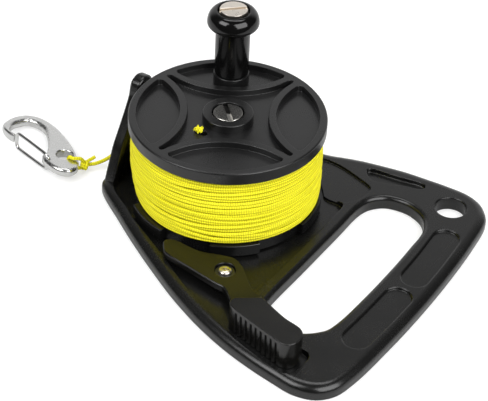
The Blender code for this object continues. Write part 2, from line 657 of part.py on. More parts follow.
def make_frame(parts, cutters, plastic):
    """Build the frame: plate, hand opening, pans, pockets, arm, axle post and lever boss."""
    hand_hole = [Vector((HAND_HOLE_START + x * HAND_HOLE_WIDTH,
                         -HAND_HOLE_NEAR_REACH + y * HAND_HOLE_LENGTH)) for x, y in HAND_HOLE_SHARES]
    frame = flat_solid("frame", through(on_frame(FRAME_OUTLINE_SHARES), 2, True),
                       [through(hand_hole, 2, True)], 0.0, PLATE_THICKNESS, plastic, parts, PLATE_ROUNDING)
    above = PLATE_THICKNESS + OVERRUN
    pivot = Vector(LEVER_PIVOT)
    round_pad = [pivot + point for point in from_pivot(WELL_PAD_SHARES)]
    well = on_frame(WELL_RIM_SHARES) + round_pad + on_frame(WELL_FAR_SHARES)
    pan = joined_with_circle(well, FLANGE_RADIUS + PAN_CLEARANCE, FLANGE_STEPS)
    cut(frame, flat_solid("pan_cutter", pan, [], PAN_FLOOR, above, None, cutters))
    cut(frame, flat_solid("recess_cutter", through(on_frame(RECESS_SHARES), 2, True), [],
                          PLATE_THICKNESS - RECESS_DEPTH, above, None, cutters))
    cut(frame, flat_solid("deep_recess_cutter", through(on_frame(DEEP_RECESS_SHARES), 2, True), [],
                          PLATE_THICKNESS - DEEP_RECESS_DEPTH, above, None, cutters))
    for index, shares in enumerate(POCKET_PATH_SHARES):
        outline = around(through(on_frame(shares), 3, False), POCKET_HALF_WIDTH)
        cut(frame, flat_solid(f"pocket_cutter_{index + 1}", outline, [],
                              PLATE_THICKNESS - POCKET_DEPTH, above, None, cutters))
    cut(frame, disc("lanyard_hole_cutter", LANYARD_HOLE_RADIUS, -OVERRUN, above, None, cutters,
                    ROUND_STEPS, LANYARD_HOLE_PLACE))
    add_arm(frame, cutters)
    sunk = PAN_FLOOR - GAP
    fuse(frame, disc("axle_post", POST_RADIUS, sunk, POST_TOP, None, cutters, ROUND_STEPS))
    fuse(frame, disc("lever_boss", LEVER_BOSS_RADIUS, sunk, LEVER_BOSS_TOP, None, cutters, ROUND_STEPS,
                     LEVER_PIVOT))
    insert_radius = AXLE_SHANK_RADIUS + GAP + INSERT_WALL + GAP
    cut(frame, disc("axle_insert_bore", insert_radius, POST_TOP - AXLE_SHANK_LENGTH - OVERRUN,
                    POST_TOP + OVERRUN, None, cutters, SMALL_STEPS))
    lever_insert_radius = LEVER_SHANK_RADIUS + GAP + INSERT_WALL + GAP
    cut(frame, disc("lever_insert_bore", lever_insert_radius, LEVER_BOSS_TOP - LEVER_INSERT_LENGTH - GAP,
                    LEVER_BOSS_TOP + OVERRUN, None, cutters, SMALL_STEPS, LEVER_PIVOT))
    return frame


def add_arm(frame, cutters):
    """Fuse the line guide arm to the narrow end of the frame, with its recess and guide hole."""
    upright = Matrix(((0.0, 0.0, 1.0, 0.0), (1.0, 0.0, 0.0, 0.0), (0.0, 1.0, 0.0, 0.0), (0.0, 0.0, 0.0, 1.0)))
    foot = [Vector((side * ARM_BASE_HALF_WIDTH, PLATE_THICKNESS / 2)) for side in (-1, 1)]
    profile = foot + through(on_arm(ARM_PROFILE_SHARES), 2, False)
    fuse(frame, flat_solid("guide_arm", profile, [], ARM_OUTER_X, ARM_INNER_X, None, cutters,
                           ARM_ROUNDING, upright))
    cut(frame, flat_solid("arm_recess_cutter", on_arm(ARM_RECESS_SHARES), [], ARM_INNER_X - ARM_RECESS_DEPTH,
                          ARM_INNER_X + OVERRUN, None, cutters, 0.0, upright))
    slot_reach = GUIDE_HOLE_HALF_LENGTH - GUIDE_HOLE_RADIUS
    slot = around([Vector((0.0, GUIDE_HOLE_HEIGHT - slot_reach)), Vector((0.0, GUIDE_HOLE_HEIGHT + slot_reach))],
                  GUIDE_HOLE_RADIUS)
    cut(frame, flat_solid("guide_hole_cutter", slot, [], ARM_OUTER_X - OVERRUN, ARM_INNER_X + OVERRUN,
                          None, cutters, 0.0, upright))


def lens_outline(direction):
    """Return one lens shaped pan of the top flange, with rounded corners, towards a direction in degrees."""
    distance = LENS_APEX_RADIUS + LENS_ARC_RADIUS
    outer = RIM_RADIUS - LENS_CORNER_RADIUS
    inner = LENS_ARC_RADIUS - LENS_CORNER_RADIUS
    corner_x = (outer ** 2 - inner ** 2 + distance ** 2) / (2 * distance)
    spread = math.degrees(math.acos(corner_x / outer))
    corner_y = outer * math.sin(math.radians(spread))
    lean = math.degrees(math.atan2(corner_y, distance - corner_x))
    turn = Matrix.Rotation(math.radians(direction), 2)
    loop = arc((0.0, 0.0), RIM_RADIUS, -spread, spread, LENS_POINT_STEPS)
    loop += arc((corner_x, corner_y), LENS_CORNER_RADIUS, spread, 180.0 - lean, 4)[1:-1]
    loop += arc((distance, 0.0), LENS_ARC_RADIUS, 180.0 - lean, 180.0 + lean, LENS_POINT_STEPS)
    loop += arc((corner_x, -corner_y), LENS_CORNER_RADIUS, 180.0 + lean, 360.0 - spread, 4)[1:-1]
    return [turn @ point for point in loop]


def horned_outline():
    """Return the four horned recess in the middle of the top flange.

    Each tip is a circle that touches both ribs. Where the ribs stay apart, it ends at the rim's wall.
    """
    distance = LENS_APEX_RADIUS + LENS_ARC_RADIUS
    radius = LENS_ARC_RADIUS + RIB_WIDTH
    half = math.radians(180.0 / LENS_COUNT)
    end = RIM_RADIUS - HORN_RIM_WALL
    tip_reach = ((radius + end) ** 2 - distance ** 2) / (2 * (radius + end - distance * math.cos(half)))
    tip_radius = end - tip_reach
    if tip_radius < HORN_TIP_RADIUS:
        tip_radius = HORN_TIP_RADIUS
        touching = (radius + tip_radius) ** 2 - (distance * math.sin(half)) ** 2
        tip_reach = distance * math.cos(half) - math.sqrt(touching)
    tip = Vector((tip_reach * math.cos(half), tip_reach * math.sin(half)))
    lean = math.degrees(math.atan2(tip.y, distance - tip.x))
    points = []
    for index in range(LENS_COUNT):
        turn = Matrix.Rotation(math.radians(FACE_TURN_DEGREES + index * 360.0 / LENS_COUNT), 2)
        side = arc((distance, 0.0), radius, 180.0 + lean, 180.0 - lean, LENS_POINT_STEPS)
        across = math.degrees(2 * half) - 180.0
        point_arc = arc(tip, tip_radius, -lean, 180.0 + across + lean, 4)[1:-1]
        points += [turn @ point for point in side + point_arc]
    return points


def make_spool(parts, cutters, finishes):
    """Build the drum with its ratchet flange, the top flange, the bush and the thrust washer."""
    plastic = finishes["plastic"]
    profile = (
        (CORE_RADIUS, LINE_TOP - GAP), (CORE_RADIUS, LINE_BOTTOM),
        (FLANGE_RADIUS - FLANGE_ROUNDING / 2, LINE_BOTTOM), (FLANGE_RADIUS, LINE_BOTTOM - FLANGE_ROUNDING / 2),
        (FLANGE_RADIUS, DRUM_BOTTOM + FLANGE_ROUNDING), (FLANGE_RADIUS - FLANGE_ROUNDING, DRUM_BOTTOM),
        (BORE_RADIUS, DRUM_BOTTOM), (BORE_RADIUS, LINE_TOP - SPIGOT_DEPTH - GAP),
        (SPIGOT_RADIUS + GAP, LINE_TOP - SPIGOT_DEPTH - GAP), (SPIGOT_RADIUS + GAP, LINE_TOP - GAP))
    drum = turned("spool_drum", profile, plastic, parts, FLANGE_STEPS)
    for index in range(RATCHET_TEETH):
        start = RATCHET_GAP_START_DEGREES + index * 360.0 / RATCHET_TEETH
        end = start + RATCHET_GAP_DEGREES
        outer = arc((0.0, 0.0), FLANGE_RADIUS + OVERRUN, start, end, 6)
        inner = arc((0.0, 0.0), FLANGE_RADIUS - RATCHET_DEPTH, end, start, 6)
        cut(drum, flat_solid(f"ratchet_gap_cutter_{index + 1}", outer + inner, [], DRUM_BOTTOM - OVERRUN,
                             LINE_BOTTOM + OVERRUN, None, cutters))
    shoulder = BUSH_TOP + GAP
    face = (
        (0.0, FLANGE_TOP), (FLANGE_RADIUS - FLANGE_ROUNDING, FLANGE_TOP), (FLANGE_RADIUS, FLANGE_TOP - FLANGE_ROUNDING),
        (FLANGE_RADIUS, LINE_TOP + FLANGE_ROUNDING / 2), (FLANGE_RADIUS - FLANGE_ROUNDING / 2, LINE_TOP),
        (SPIGOT_RADIUS, LINE_TOP), (SPIGOT_RADIUS, LINE_TOP - SPIGOT_DEPTH),
        (BORE_RADIUS, LINE_TOP - SPIGOT_DEPTH), (BORE_RADIUS, shoulder), (0.0, shoulder))
    flange = turned("spool_top_flange", face, plastic, parts, FLANGE_STEPS, closed=False)
    quarter = 360.0 / LENS_COUNT
    for index in range(LENS_COUNT):
        cut(flange, flat_solid(f"lens_cutter_{index + 1}", lens_outline(FACE_TURN_DEGREES + index * quarter), [],
                               PAN_TOP, FLANGE_TOP + OVERRUN, None, cutters))
    cut(flange, flat_solid("horned_cutter", horned_outline(), [], PAN_TOP, FLANGE_TOP + OVERRUN, None, cutters))
    fuse(flange, disc("hub", HUB_RADIUS, PAN_TOP - GAP, HUB_TOP, None, cutters, ROUND_STEPS))
    cut(flange, disc("screw_cup_cutter", HEAD_CUP_RADIUS, shoulder - OVERRUN, HUB_TOP + OVERRUN, None, cutters,
                     ROUND_STEPS))
    fuse(flange, disc("knob_boss", KNOB_BOSS_RADIUS, PAN_TOP - GAP, KNOB_BOSS_TOP, None, cutters, ROUND_STEPS,
                      KNOB_PLACE))
    cut(flange, disc("knob_insert_bore", KNOB_INSERT_RADIUS + GAP, KNOB_BOSS_TOP - KNOB_INSERT_LENGTH - GAP,
                     KNOB_BOSS_TOP + OVERRUN, None, cutters, SMALL_STEPS, KNOB_PLACE))
    cut(flange, disc("anchor_hole_cutter", ANCHOR_HOLE_RADIUS, LINE_TOP - OVERRUN, FLANGE_TOP, None, cutters,
                     SMALL_STEPS, ANCHOR_PLACE))
    ring("spool_bush", BUSH_INNER_RADIUS, BUSH_OUTER_RADIUS, DRUM_BOTTOM, BUSH_TOP, finishes["nylon"], parts,
         ROUND_STEPS)
    ring("thrust_washer", POST_RADIUS + GAP, THRUST_WASHER_RADIUS, THRUST_WASHER_BOTTOM,
         THRUST_WASHER_BOTTOM + THRUST_WASHER_THICKNESS, finishes["nylon"], parts, ROUND_STEPS)


def slotted_head(name, head, shank, head_bottom, head_top, shank_bottom, centre, slot_degrees, material,
                 parts, cutters):
    """Return a screw with a slot across its head."""
    profile = (
        (0.0, head_top), (head - HEAD_ROUNDING, head_top), (head, head_top - HEAD_ROUNDING),
        (head, head_bottom), (shank, head_bottom), (shank, shank_bottom), (0.0, shank_bottom))
    screw = turned(name, profile, material, parts, ROUND_STEPS, centre, closed=False)
    reach = head + OVERRUN
    half = SLOT_WIDTH / 2
    blade = [Vector((-reach, -half)), Vector((reach, -half)), Vector((reach, half)), Vector((-reach, half))]
    turn = Matrix.Translation((centre[0], centre[1], 0.0)) @ Matrix.Rotation(math.radians(slot_degrees), 4, "Z")
    cut(screw, flat_solid(f"{name}_slot_cutter", blade, [], head_top - SLOT_DEPTH, head_top + OVERRUN, None,
                          cutters, 0.0, turn))
    return screw


def make_axle(parts, cutters, finishes):
    """Build the screw, washer and insert that hold the spool on its post."""
    slotted_head("axle_screw", AXLE_HEAD_RADIUS, AXLE_SHANK_RADIUS, AXLE_HEAD_BOTTOM, HUB_TOP,
                 POST_TOP - AXLE_SHANK_LENGTH, (0.0, 0.0), AXLE_SLOT_DEGREES, finishes["nickel"], parts, cutters)
    washer_radius = HEAD_CUP_RADIUS - GAP
    ring("axle_washer", AXLE_SHANK_RADIUS + GAP, washer_radius, AXLE_WASHER_BOTTOM,
         AXLE_WASHER_BOTTOM + AXLE_WASHER_THICKNESS, finishes["steel"], parts, ROUND_STEPS)
    inner = AXLE_SHANK_RADIUS + GAP
    ring("axle_insert", inner, inner + INSERT_WALL, POST_TOP - AXLE_INSERT_LENGTH, POST_TOP, finishes["brass"],
         parts, SMALL_STEPS)


def make_knob(parts, cutters, finishes):
    """Build the winding knob with its spindle, screw, washer and insert."""
    shaft = KNOB_SHAFT_RADIUS
    bore = KNOB_SLEEVE_RADIUS + GAP
    neck = KNOB_TOP - KNOB_HEAD_HEIGHT
    middle = neck + KNOB_HEAD_HEIGHT * KNOB_WIDEST_SHARE
    profile = [(KNOB_CUP_RADIUS, KNOB_TOP - HEAD_ROUNDING / 2), (KNOB_CUP_RADIUS + HEAD_ROUNDING / 2, KNOB_TOP)]
    lip = KNOB_CUP_RADIUS + HEAD_ROUNDING / 2
    for step in range(1, 6):
        turn = math.radians(90.0 * step / 5)
        profile.append((lip + (KNOB_HEAD_RADIUS - lip) * math.sin(turn),
                        middle + (KNOB_TOP - middle) * math.cos(turn)))
    for step in range(1, 5):
        turn = math.radians(90.0 * step / 4)
        profile.append((shaft + (KNOB_HEAD_RADIUS - shaft) * math.cos(turn),
                        middle - (middle - neck) * math.sin(turn)))
    profile += [(shaft, KNOB_BOTTOM + HEAD_ROUNDING), (shaft - HEAD_ROUNDING / 2, KNOB_BOTTOM),
                (bore, KNOB_BOTTOM), (bore, KNOB_CUP_FLOOR), (KNOB_CUP_RADIUS, KNOB_CUP_FLOOR)]
    turned("knob_grip", profile, finishes["gloss"], parts, ROUND_STEPS, KNOB_PLACE)
    shank_gap = KNOB_SHANK_RADIUS + GAP
    sleeve_top = KNOB_CUP_FLOOR + GAP
    ring("knob_sleeve", shank_gap, KNOB_SLEEVE_RADIUS, KNOB_BOTTOM, sleeve_top, finishes["steel"], parts,
         SMALL_STEPS, KNOB_PLACE)
    washer_bottom = sleeve_top + GAP
    washer_top = washer_bottom + KNOB_WASHER_THICKNESS
    ring("knob_washer", shank_gap, KNOB_CUP_RADIUS - GAP, washer_bottom, washer_top, finishes["steel"], parts,
         ROUND_STEPS, KNOB_PLACE)
    head_bottom = washer_top + GAP
    slotted_head("knob_screw", KNOB_SCREW_RADIUS, KNOB_SHANK_RADIUS, head_bottom, head_bottom + KNOB_SCREW_HEIGHT,
                 KNOB_BOSS_TOP - KNOB_INSERT_LENGTH + GAP, KNOB_PLACE, KNOB_SLOT_DEGREES, finishes["nickel"],
                 parts, cutters)
    ring("knob_insert", shank_gap, KNOB_INSERT_RADIUS, KNOB_BOSS_TOP - KNOB_INSERT_LENGTH, KNOB_BOSS_TOP,
         finishes["brass"], parts, SMALL_STEPS, KNOB_PLACE)


def from_pivot(shares):
    """Return flat points from shares of the lever's reach, measured from its pivot."""
    return [Vector((x * LEVER_REACH, y * LEVER_REACH)) for x, y in shares]


def pad_outline(depth):
    """Return the outline of the thumb pad round the pivot, with its ribs cut to a depth."""
    corners = from_pivot(PAD_SHARES)
    start = corners[-1]
    end = corners[0]
    step = (end - start) / RIB_COUNT
    inward = Vector((-step.y, step.x)).normalized() * depth
    side = [start]
    for index in range(RIB_COUNT):
        for share, deep in zip(RIB_SHARES, (0.0, 1.0, 1.0, 0.0)):
            side.append(start + step * (index + share) + inward * deep)
    rest = [point for point in through(corners, 2, True)]
    return side + rest[:-2]


def make_lever(parts, cutters, finishes):
    """Build the brake lever with its pawl tip, ramp and ribbed pad, and what holds it."""
    pivot = Matrix.Translation((LEVER_PIVOT[0], LEVER_PIVOT[1], 0.0))
    lever = flat_solid("brake_lever", through(from_pivot(LEVER_ARM_SHARES), 2, True), [], LEVER_BOTTOM, LEVER_TOP,
                       finishes["plastic"], parts, LEVER_ROUNDING, pivot, COARSE_EDGE_STEPS)
    plain = pad_outline(0.0)
    ribbed = pad_outline(RIB_DEPTH)
    lip = PAD_TOP - PAD_LIP
    sections = ((ribbed, SKIRT_BOTTOM), (ribbed, lip - RIB_DEPTH), (plain, lip), (plain, PAD_TOP - PAD_ROUNDING),
                (inset(plain, PAD_ROUNDING * PAD_EDGE_SHARE), PAD_TOP - PAD_ROUNDING * PAD_EDGE_SHARE),
                (inset(plain, PAD_ROUNDING), PAD_TOP))
    pad = layered("thumb_pad", sections, None, cutters, pivot)
    cut(pad, flat_solid("pad_undercut_cutter", from_pivot(PAD_UNDERCUT_SHARES), [], SKIRT_BOTTOM - OVERRUN,
                        PAD_BOTTOM, None, cutters, 0.0, pivot))
    fuse(lever, pad)
    cut(lever, disc("lever_bore_cutter", LEVER_BORE_RADIUS, LEVER_BOTTOM - OVERRUN, LEVER_TOP, None, cutters,
                    SMALL_STEPS, LEVER_PIVOT))
    cut(lever, disc("lever_cup_cutter", LEVER_CUP_RADIUS, LEVER_CUP_FLOOR, LEVER_TOP + OVERRUN, None, cutters,
                    ROUND_STEPS, LEVER_PIVOT))
    inner = LEVER_SHANK_RADIUS + GAP
    ring("lever_insert", inner, inner + INSERT_WALL, LEVER_BOSS_TOP - LEVER_INSERT_LENGTH, LEVER_BOSS_TOP,
         finishes["brass"], parts, SMALL_STEPS, LEVER_PIVOT)
    spring_bottom = LEVER_CUP_FLOOR + GAP
    spring_top = spring_bottom + LEVER_SPRING_HEIGHT
    washer_bottom = spring_top + GAP
    washer_top = washer_bottom + LEVER_WASHER_THICKNESS
    ring("lever_bush", inner, LEVER_BORE_RADIUS - GAP, LEVER_BOTTOM, washer_bottom - GAP, finishes["brass"],
         parts, SMALL_STEPS, LEVER_PIVOT)
    ring("lever_spring_washer", LEVER_BORE_RADIUS, LEVER_CUP_RADIUS - GAP, spring_bottom, spring_top,
         finishes["steel"], parts, SMALL_STEPS, LEVER_PIVOT)
    ring("lever_washer", inner, LEVER_CUP_RADIUS - GAP, washer_bottom, washer_top, finishes["steel"], parts,
         SMALL_STEPS, LEVER_PIVOT)
    head_bottom = washer_top + GAP
    head_top = head_bottom + LEVER_HEAD_HEIGHT
    reach = LEVER_HEAD_RADIUS * CROSS_REACH_SHARE
    profile = (
        (0.0, head_top), (reach, head_top - HEAD_ROUNDING * CROWN_DROP_SHARE),
        (LEVER_HEAD_RADIUS, head_bottom + HEAD_ROUNDING / 2), (LEVER_HEAD_RADIUS, head_bottom),
        (LEVER_SHANK_RADIUS, head_bottom), (LEVER_SHANK_RADIUS, LEVER_BOSS_TOP - LEVER_INSERT_LENGTH + GAP),
        (0.0, LEVER_BOSS_TOP - LEVER_INSERT_LENGTH + GAP))
    screw = turned("lever_screw", profile, finishes["nickel"], parts, SMALL_STEPS, LEVER_PIVOT, closed=False)
    half = CROSS_WIDTH / 2
    cross = []
    for index in range(4):
        turn = Matrix.Rotation(math.radians(90.0 * index), 2)
        cross += [turn @ Vector((reach, -half)), turn @ Vector((reach, half)), turn @ Vector((half, half))]
    cut(screw, flat_solid("lever_screw_cross_cutter", cross, [], head_bottom + HEAD_ROUNDING * CROSS_FLOOR_SHARE,
                          head_top + OVERRUN, None, cutters, 0.0, pivot))


def make_line(parts, cutters, finishes):
    """Build the wound line, its outer layer and the knotted end in the top flange."""
    yellow = finishes["line"]
    ring("line_core", CORE_RADIUS + GAP, LINE_CORE_RADIUS, LINE_BOTTOM + GAP, LINE_TOP - GAP, yellow, parts,
         FLANGE_STEPS)
    low = LINE_BOTTOM + GAP + LINE_RADIUS
    high = LINE_TOP - GAP - LINE_RADIUS
    count = WINDING_TURNS * WINDING_STEPS
    points = []
    for index in range(count + 1):
        share = index / count
        angle = math.radians(WINDING_END_DEGREES) + math.tau * WINDING_TURNS * (share - 1)
        reach = WINDING_PATH_RADIUS + WINDING_BULGE * math.sin(math.pi * share)
        points.append(Vector((reach * math.cos(angle), reach * math.sin(angle), low + (high - low) * share)))
    wire("line_winding", points, LINE_RADIUS, 1, yellow, parts)
    least = least_gap(points, WINDING_STEPS) - LINE_DIAMETER
    print(f"line_winding least gap to itself {least / MM:.3f} mm, wanted over {LEAST_LINE_GAP / MM:.2f} mm")
    knot = bpy.data.meshes.new("line_anchor_knot")
    body = bmesh.new()
    bmesh.ops.create_uvsphere(body, u_segments=14, v_segments=8, radius=1.0)
    bmesh.ops.scale(body, vec=ANCHOR_SIZE, verts=body.verts)
    body.to_mesh(knot)
    body.free()
    smooth_shading(knot)
    item = bpy.data.objects.new("line_anchor_knot", knot)
    item.location = (ANCHOR_PLACE[0], ANCHOR_PLACE[1], PAN_TOP + GAP + ANCHOR_SIZE[2])
    item.rotation_euler.z = math.radians(ANCHOR_TURN_DEGREES)
    place(item, yellow, parts)
    fuse(item, disc("anchor_line_end", ANCHOR_HOLE_RADIUS - GAP, LINE_TOP + GAP, item.location.z, None, cutters,
                    12, ANCHOR_PLACE))


def least_gap(points, skip):
    """Return the least distance between points that are a turn or more apart."""
    least = math.inf
    reach = skip // 2
    for index, point in enumerate(points):
        for other in points[index + reach:index + 2 * skip]:
            least = min(least, (other - point).length)
    return least


def hook_matrix():
    """Return the place of the snap hook's own frame, with its eye end towards +X."""
    turn = Matrix.Rotation(math.radians(HOOK_TURN_DEGREES), 4, "Z")
    tilt = Matrix.Rotation(math.radians(HOOK_TILT_DEGREES), 4, "X")
    return Matrix.Translation(HOOK_CENTRE) @ turn @ tilt


def make_hook(parts, cutters, finishes):
    """Build the snap hook's body and its sprung wire gate."""
    matrix = hook_matrix()
    half = HOOK_THICKNESS / 2
    low = GATE_HINGE_PLACE[1] - HOOK_EDGE
    outline = [Vector((x * HOOK_LENGTH, low + y * HOOK_WIDTH)) for x, y in HOOK_OUTLINE_SHARES]
    hook = flat_solid("snap_hook", through(outline, 2, True), [], -half, half, finishes["stainless"], parts,
                      HOOK_ROUNDING, matrix, COARSE_EDGE_STEPS)
    eye = disc("hook_eye_cutter", HOOK_EYE_RADIUS, -half - OVERRUN, half + OVERRUN, None, cutters, SMALL_STEPS,
               HOOK_EYE_PLACE)
    eye.matrix_world = matrix @ Matrix.Translation((*HOOK_EYE_PLACE, 0.0))
    hinge = disc("gate_hole_cutter", GATE_WIRE_RADIUS + GAP, -half - OVERRUN, half + OVERRUN, None, cutters, 12)
    hinge.matrix_world = matrix @ Matrix.Translation((*GATE_HINGE_PLACE, 0.0))
    cut(hook, eye, hinge)
    gate = gate_points(half)
    item = wire("hook_gate", gate, GATE_WIRE_RADIUS, 2, None, parts)
    item.matrix_world = matrix @ Matrix.Translation((*GATE_HINGE_PLACE, 0.0))
    as_mesh(item, finishes["stainless"], parts)


def gate_points(half):
    """Return the path of the gate's wire round its hinge: a pin, a leg, the bend, a leg and a pin."""
    turn = math.radians(GATE_ANGLE_DEGREES)
    along = Vector((math.cos(turn), math.sin(turn), 0.0))
    rise = half + GAP + GATE_WIRE_RADIUS
    bend = rise * GATE_BEND_SHARE
    corner = GATE_HALF_WIDTH * GATE_CORNER_SHARE
    ahead, below = GATE_ELBOW_SHARES
    leg = [Vector((0.0, 0.0, half - GATE_PIN_DEPTH)), Vector((0.0, 0.0, rise - bend / 2))]
    leg += [along * (bend * ahead) + Vector((0.0, 0.0, rise - bend * below))]
    leg += [along * bend + Vector((0.0, 0.0, rise + GAP))]
    leg += [along * (GATE_LENGTH * GATE_MIDDLE_SHARE) + Vector((0.0, 0.0, (rise + GATE_HALF_WIDTH) / 2 + GAP))]
    leg += [along * (GATE_LENGTH - corner * GATE_LEAD_SHARE) + Vector((0.0, 0.0, GATE_HALF_WIDTH))]
    for step in range(1, 5):
        share = math.radians(90.0 * step / 5)
        leg.append(along * (GATE_LENGTH - corner + corner * math.sin(share))
                   + Vector((0.0, 0.0, GATE_HALF_WIDTH - corner + corner * math.cos(share))))
    other = [Vector((point.x, point.y, -point.z)) for point in reversed(leg)]
    return leg + [along * GATE_LENGTH] + other


def make_lead(parts, cutters, finishes):
    """Build the free line from the winding to the hook, and its knot with the bight through the eye."""
    yellow = finishes["line"]
    route = through(LEAD_ROUTE, LEAD_POINT_STEPS, False)
    wire("lead_line", route, LINE_RADIUS, 2, yellow, parts)
    matrix = hook_matrix()
    back = matrix.inverted() @ Vector(KNOT_PLACE)
    over = HOOK_THICKNESS / 2 + GAP + LINE_RADIUS
    eye_x, eye_y = HOOK_EYE_PLACE
    rim = HOOK_EYE_RADIUS + LINE_RADIUS
    middle = (eye_x + back.x) / 2
    reach = eye_x + rim * BIGHT_REACH_SHARE
    leave, crest, turn, arrive = (over * share for share in BIGHT_RISE_SHARES)
    bight = [back, Vector((back.x - LINE_DIAMETER, back.y, leave)),
             Vector((middle + rim / 2, (back.y + eye_y) / 2, crest)),
             Vector((reach, eye_y, over)), Vector((eye_x + LINE_DIAMETER, eye_y, turn)),
             Vector((eye_x + LINE_RADIUS, eye_y, 0.0)),
             Vector((eye_x + LINE_DIAMETER, eye_y, -turn)), Vector((reach, eye_y, -over)),
             Vector((middle + rim / 2, (back.y + eye_y) / 2, -over)),
             Vector((back.x - LINE_DIAMETER, back.y, -arrive)), back + Vector((0.0, 0.0, -LINE_RADIUS / 2))]
    loop = wire("bight", through(bight, 2, False), LINE_RADIUS, 2, None, cutters)
    loop.matrix_world = matrix
    loop = as_mesh(loop, None, cutters)
    mesh = bpy.data.meshes.new("hook_knot")
    body = bmesh.new()
    bmesh.ops.create_uvsphere(body, u_segments=14, v_segments=8, radius=1.0)
    bmesh.ops.scale(body, vec=KNOT_SIZE, verts=body.verts)
    body.to_mesh(mesh)
    body.free()
    smooth_shading(mesh)
    knot = bpy.data.objects.new("hook_knot", mesh)
    knot.location = KNOT_PLACE
    place(knot, yellow, parts)
    fuse(knot, loop)


def main():
    """Build the reel."""
    clear_scene()
    parts = new_collection("dive_reel")
    cutters = new_collection("cutters")
    finishes = {
        "plastic": new_material("black_plastic", PLASTIC_BLACK, 0.42, 0.0),
        "gloss": new_material("glossy_black", GLOSSY_BLACK, 0.12, 0.0),
        "line": new_material("yellow_line", LINE_YELLOW, 0.7, 0.0),
        "nickel": new_material("nickel", NICKEL, 0.28, 1.0),
        "steel": new_material("washer_steel", STAINLESS, 0.35, 1.0),
        "stainless": new_material("stainless", STAINLESS, 0.22, 1.0),
        "brass": new_material("brass", BRASS, 0.35, 1.0),
        "nylon": new_material("nylon", NYLON_WHITE, 0.5, 0.0),
    }
    make_frame(parts, cutters, finishes["plastic"])
    make_spool(parts, cutters, finishes)
    make_axle(parts, cutters, finishes)
    make_knob(parts, cutters, finishes)
    make_lever(parts, cutters, finishes)
    make_line(parts, cutters, finishes)
    make_hook(parts, cutters, finishes)
    make_lead(parts, cutters, finishes)


main()
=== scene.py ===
"""Looks of a hand held dive reel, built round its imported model.

Metres, +Z up. The origin is on the spool's axis, at the flat back of the frame, and +X runs
from the spool to the grip.
"""

import json
import logging
import math
from collections.abc import Iterable, Mapping, Sequence
from dataclasses import dataclass, field
from enum import Enum

import bmesh
import bpy
import numpy as np
from mathutils import Matrix, Vector

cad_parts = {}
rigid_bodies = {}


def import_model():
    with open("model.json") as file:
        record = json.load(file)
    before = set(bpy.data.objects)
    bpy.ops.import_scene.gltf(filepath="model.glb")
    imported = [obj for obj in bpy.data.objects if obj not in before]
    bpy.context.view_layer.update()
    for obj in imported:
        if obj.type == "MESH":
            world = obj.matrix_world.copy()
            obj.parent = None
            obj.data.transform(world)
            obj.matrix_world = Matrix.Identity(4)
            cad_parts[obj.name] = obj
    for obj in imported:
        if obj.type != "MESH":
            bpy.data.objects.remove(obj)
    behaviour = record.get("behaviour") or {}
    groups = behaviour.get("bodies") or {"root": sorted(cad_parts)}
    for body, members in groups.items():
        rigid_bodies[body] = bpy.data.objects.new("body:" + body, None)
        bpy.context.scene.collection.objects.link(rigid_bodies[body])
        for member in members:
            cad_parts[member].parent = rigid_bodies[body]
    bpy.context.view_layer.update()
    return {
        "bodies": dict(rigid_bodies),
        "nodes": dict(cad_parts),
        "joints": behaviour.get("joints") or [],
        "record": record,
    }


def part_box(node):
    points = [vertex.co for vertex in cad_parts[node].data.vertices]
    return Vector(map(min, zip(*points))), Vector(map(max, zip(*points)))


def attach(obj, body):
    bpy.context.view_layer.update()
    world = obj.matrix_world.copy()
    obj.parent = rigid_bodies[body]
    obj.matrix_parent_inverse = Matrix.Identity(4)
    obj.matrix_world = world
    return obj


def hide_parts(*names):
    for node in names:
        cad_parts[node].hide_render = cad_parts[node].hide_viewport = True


MM = 0.001
LOG = logging.getLogger("dive_reel")

FULL_TURN = math.tau
QUARTER_TURN = math.pi / 2
LINE_DIAMETER = 1.8 * MM
LINE_RADIUS = LINE_DIAMETER / 2

# The spool's axis, seen from above
AXIS = (0.0, 0.0)

# How far cutters reach past a face, and the small overlap or clearance between solids
OVERRUN = 1.5 * MM
GAP = 0.3 * MM

# The angle in degrees above which an edge stays sharp, and the map of a tube's length and turn
CREASE_ANGLE = 38.0
TUBE_MAP = "tube"

WHITE = (1.0, 1.0, 1.0, 1.0)

Pair = tuple[float, float]
Triple = tuple[float, float, float]
Colour = Triple
Outline = list[Vector]
Profile = Sequence[Pair]
Shares = Sequence[Pair]
Piece = bpy.types.Object
Material = bpy.types.Material
Socket = bpy.types.NodeSocket

